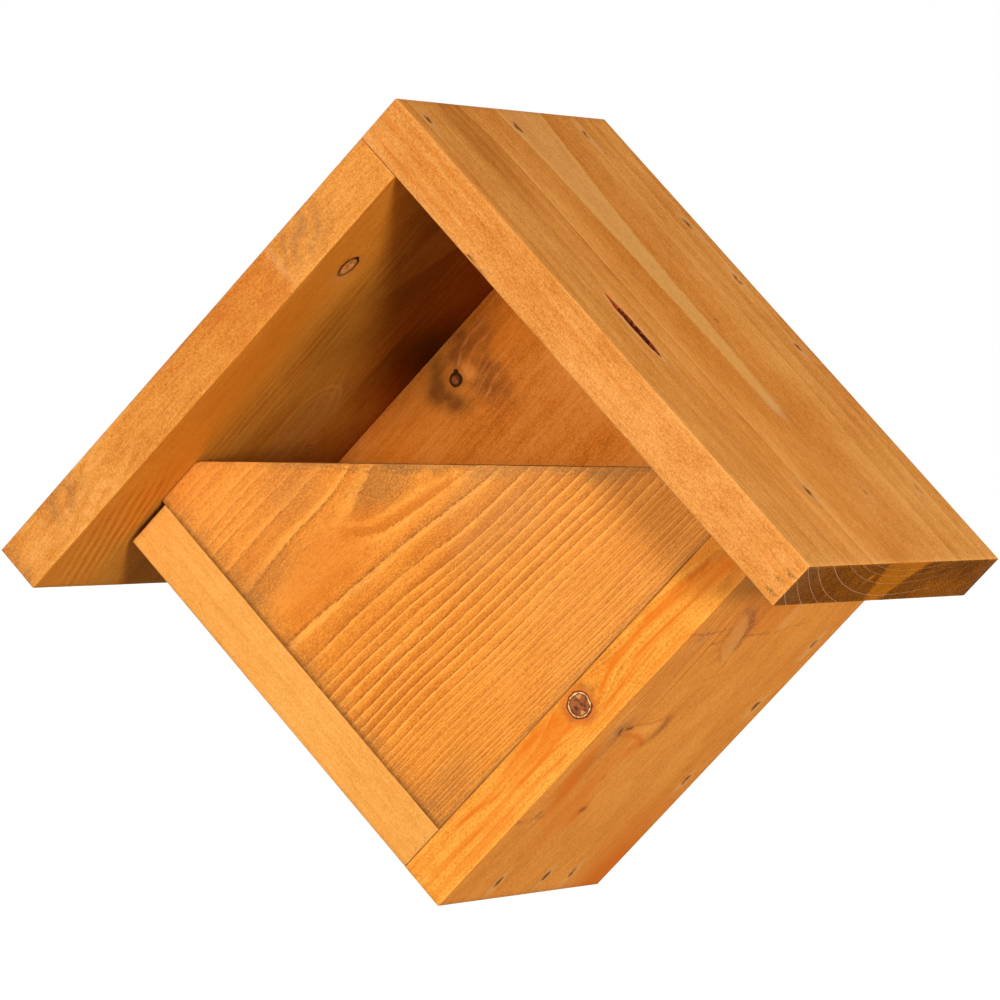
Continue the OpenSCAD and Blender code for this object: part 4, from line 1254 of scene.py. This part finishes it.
# Camera, at the photograph's viewpoint
cameraPlace = {
    "spot": (0.98551, -1.96653, -0.04648), "ahead": (-0.46220, 0.88667, -0.01391),
    "up": (-0.01410, 0.00834, 0.99987), "focal": 6333.0, "picture": 1000.0, "sensor": 36.0,
}
camera = bpy.data.cameras.new("camera")
camera.sensor_width = cameraPlace["sensor"]
camera.lens = cameraPlace["sensor"] * cameraPlace["focal"] / cameraPlace["picture"]
cameraObject = bpy.data.objects.new("camera", camera)
ahead = Vector(cameraPlace["ahead"]).normalized()
side = ahead.cross(Vector(cameraPlace["up"])).normalized()
turn = Matrix((side, side.cross(ahead), -ahead)).transposed()
cameraObject.matrix_world = Matrix.Translation(cameraPlace["spot"]) @ turn.to_4x4()
bpy.context.scene.collection.objects.link(cameraObject)
bpy.context.scene.camera = cameraObject

# Studio: white surroundings, a broad light from the front right, a wider one from the front,
# and a pale floor well below
studio = {
    "surround": 0.42, "floorDrop": 0.30, "floorSize": 30.0, "floorShade": 0.6, "floorLift": 0.8,
    "keyFrom": (1.35, -1.0, -0.02), "keyFar": 2.4, "keySize": 0.45, "keyPower": 38.0,
    "fillFrom": (0.02, -1.0, 0.07), "fillFar": 3.0, "fillSize": 0.7, "fillPower": 40.0,
}


def whenSeen(tree, unseen, seen):
    # one value for what the camera sees, another for the light that falls on the box
    return remap(tree, flow(tree, "LightPath", out="Is Camera Ray"), 0.0, 1.0, unseen, seen, "LINEAR")


world = bpy.data.worlds.new("studio")
bpy.context.scene.world = world
world.use_nodes = True
tree = world.node_tree
tree.nodes.clear()
strength = whenSeen(tree, studio["surround"], 1.0)
background = flow(tree, "Background", {"Color": (1, 1, 1, 1), "Strength": strength})
add(tree, "OutputWorld", {"Surface": background})


def addLight(name):
    # a disk of light that faces the middle of the box
    lamp = bpy.data.lights.new(name, "AREA")
    lamp.shape = "DISK"
    lamp.size = studio[name + "Size"]
    lamp.energy = studio[name + "Power"]
    lampObject = bpy.data.objects.new(name, lamp)
    towards = Vector(studio[name + "From"]).normalized()
    lampObject.location = towards * studio[name + "Far"] + Vector(cadBox[0]).lerp(Vector(cadBox[1]), 0.5)
    lampObject.rotation_mode = "QUATERNION"
    lampObject.rotation_quaternion = towards.to_track_quat("Z", "Y")
    bpy.context.scene.collection.objects.link(lampObject)


addLight("key")
addLight("fill")

floorMesh = bpy.data.meshes.new("floor")
size = studio["floorSize"]
floorZ = cadBox[0][2] - studio["floorDrop"]
floorCorners = [(x * size, y * size, floorZ) for x, y in ((-1, -1), (1, -1), (1, 1), (-1, 1))]
floorMesh.from_pydata(floorCorners, [], [(0, 1, 2, 3)])
floor = bpy.data.objects.new("floor", floorMesh)
bpy.context.scene.collection.objects.link(floor)
paper, tree = newMaterial("paleFloor")
shader = flow(tree, "BsdfPrincipled", {
    "Base Color": (studio["floorShade"],) * 3 + (1,), "Roughness": 0.9, "Specular IOR Level": 0.1,
    "Emission Color": (1, 1, 1, 1), "Emission Strength": whenSeen(tree, 0.0, studio["floorLift"]),
})
add(tree, "OutputMaterial", {"Surface": shader})
floorMesh.materials.append(paper)

bpy.context.scene.view_settings.view_transform = "Standard"
print("camera and lights placed")
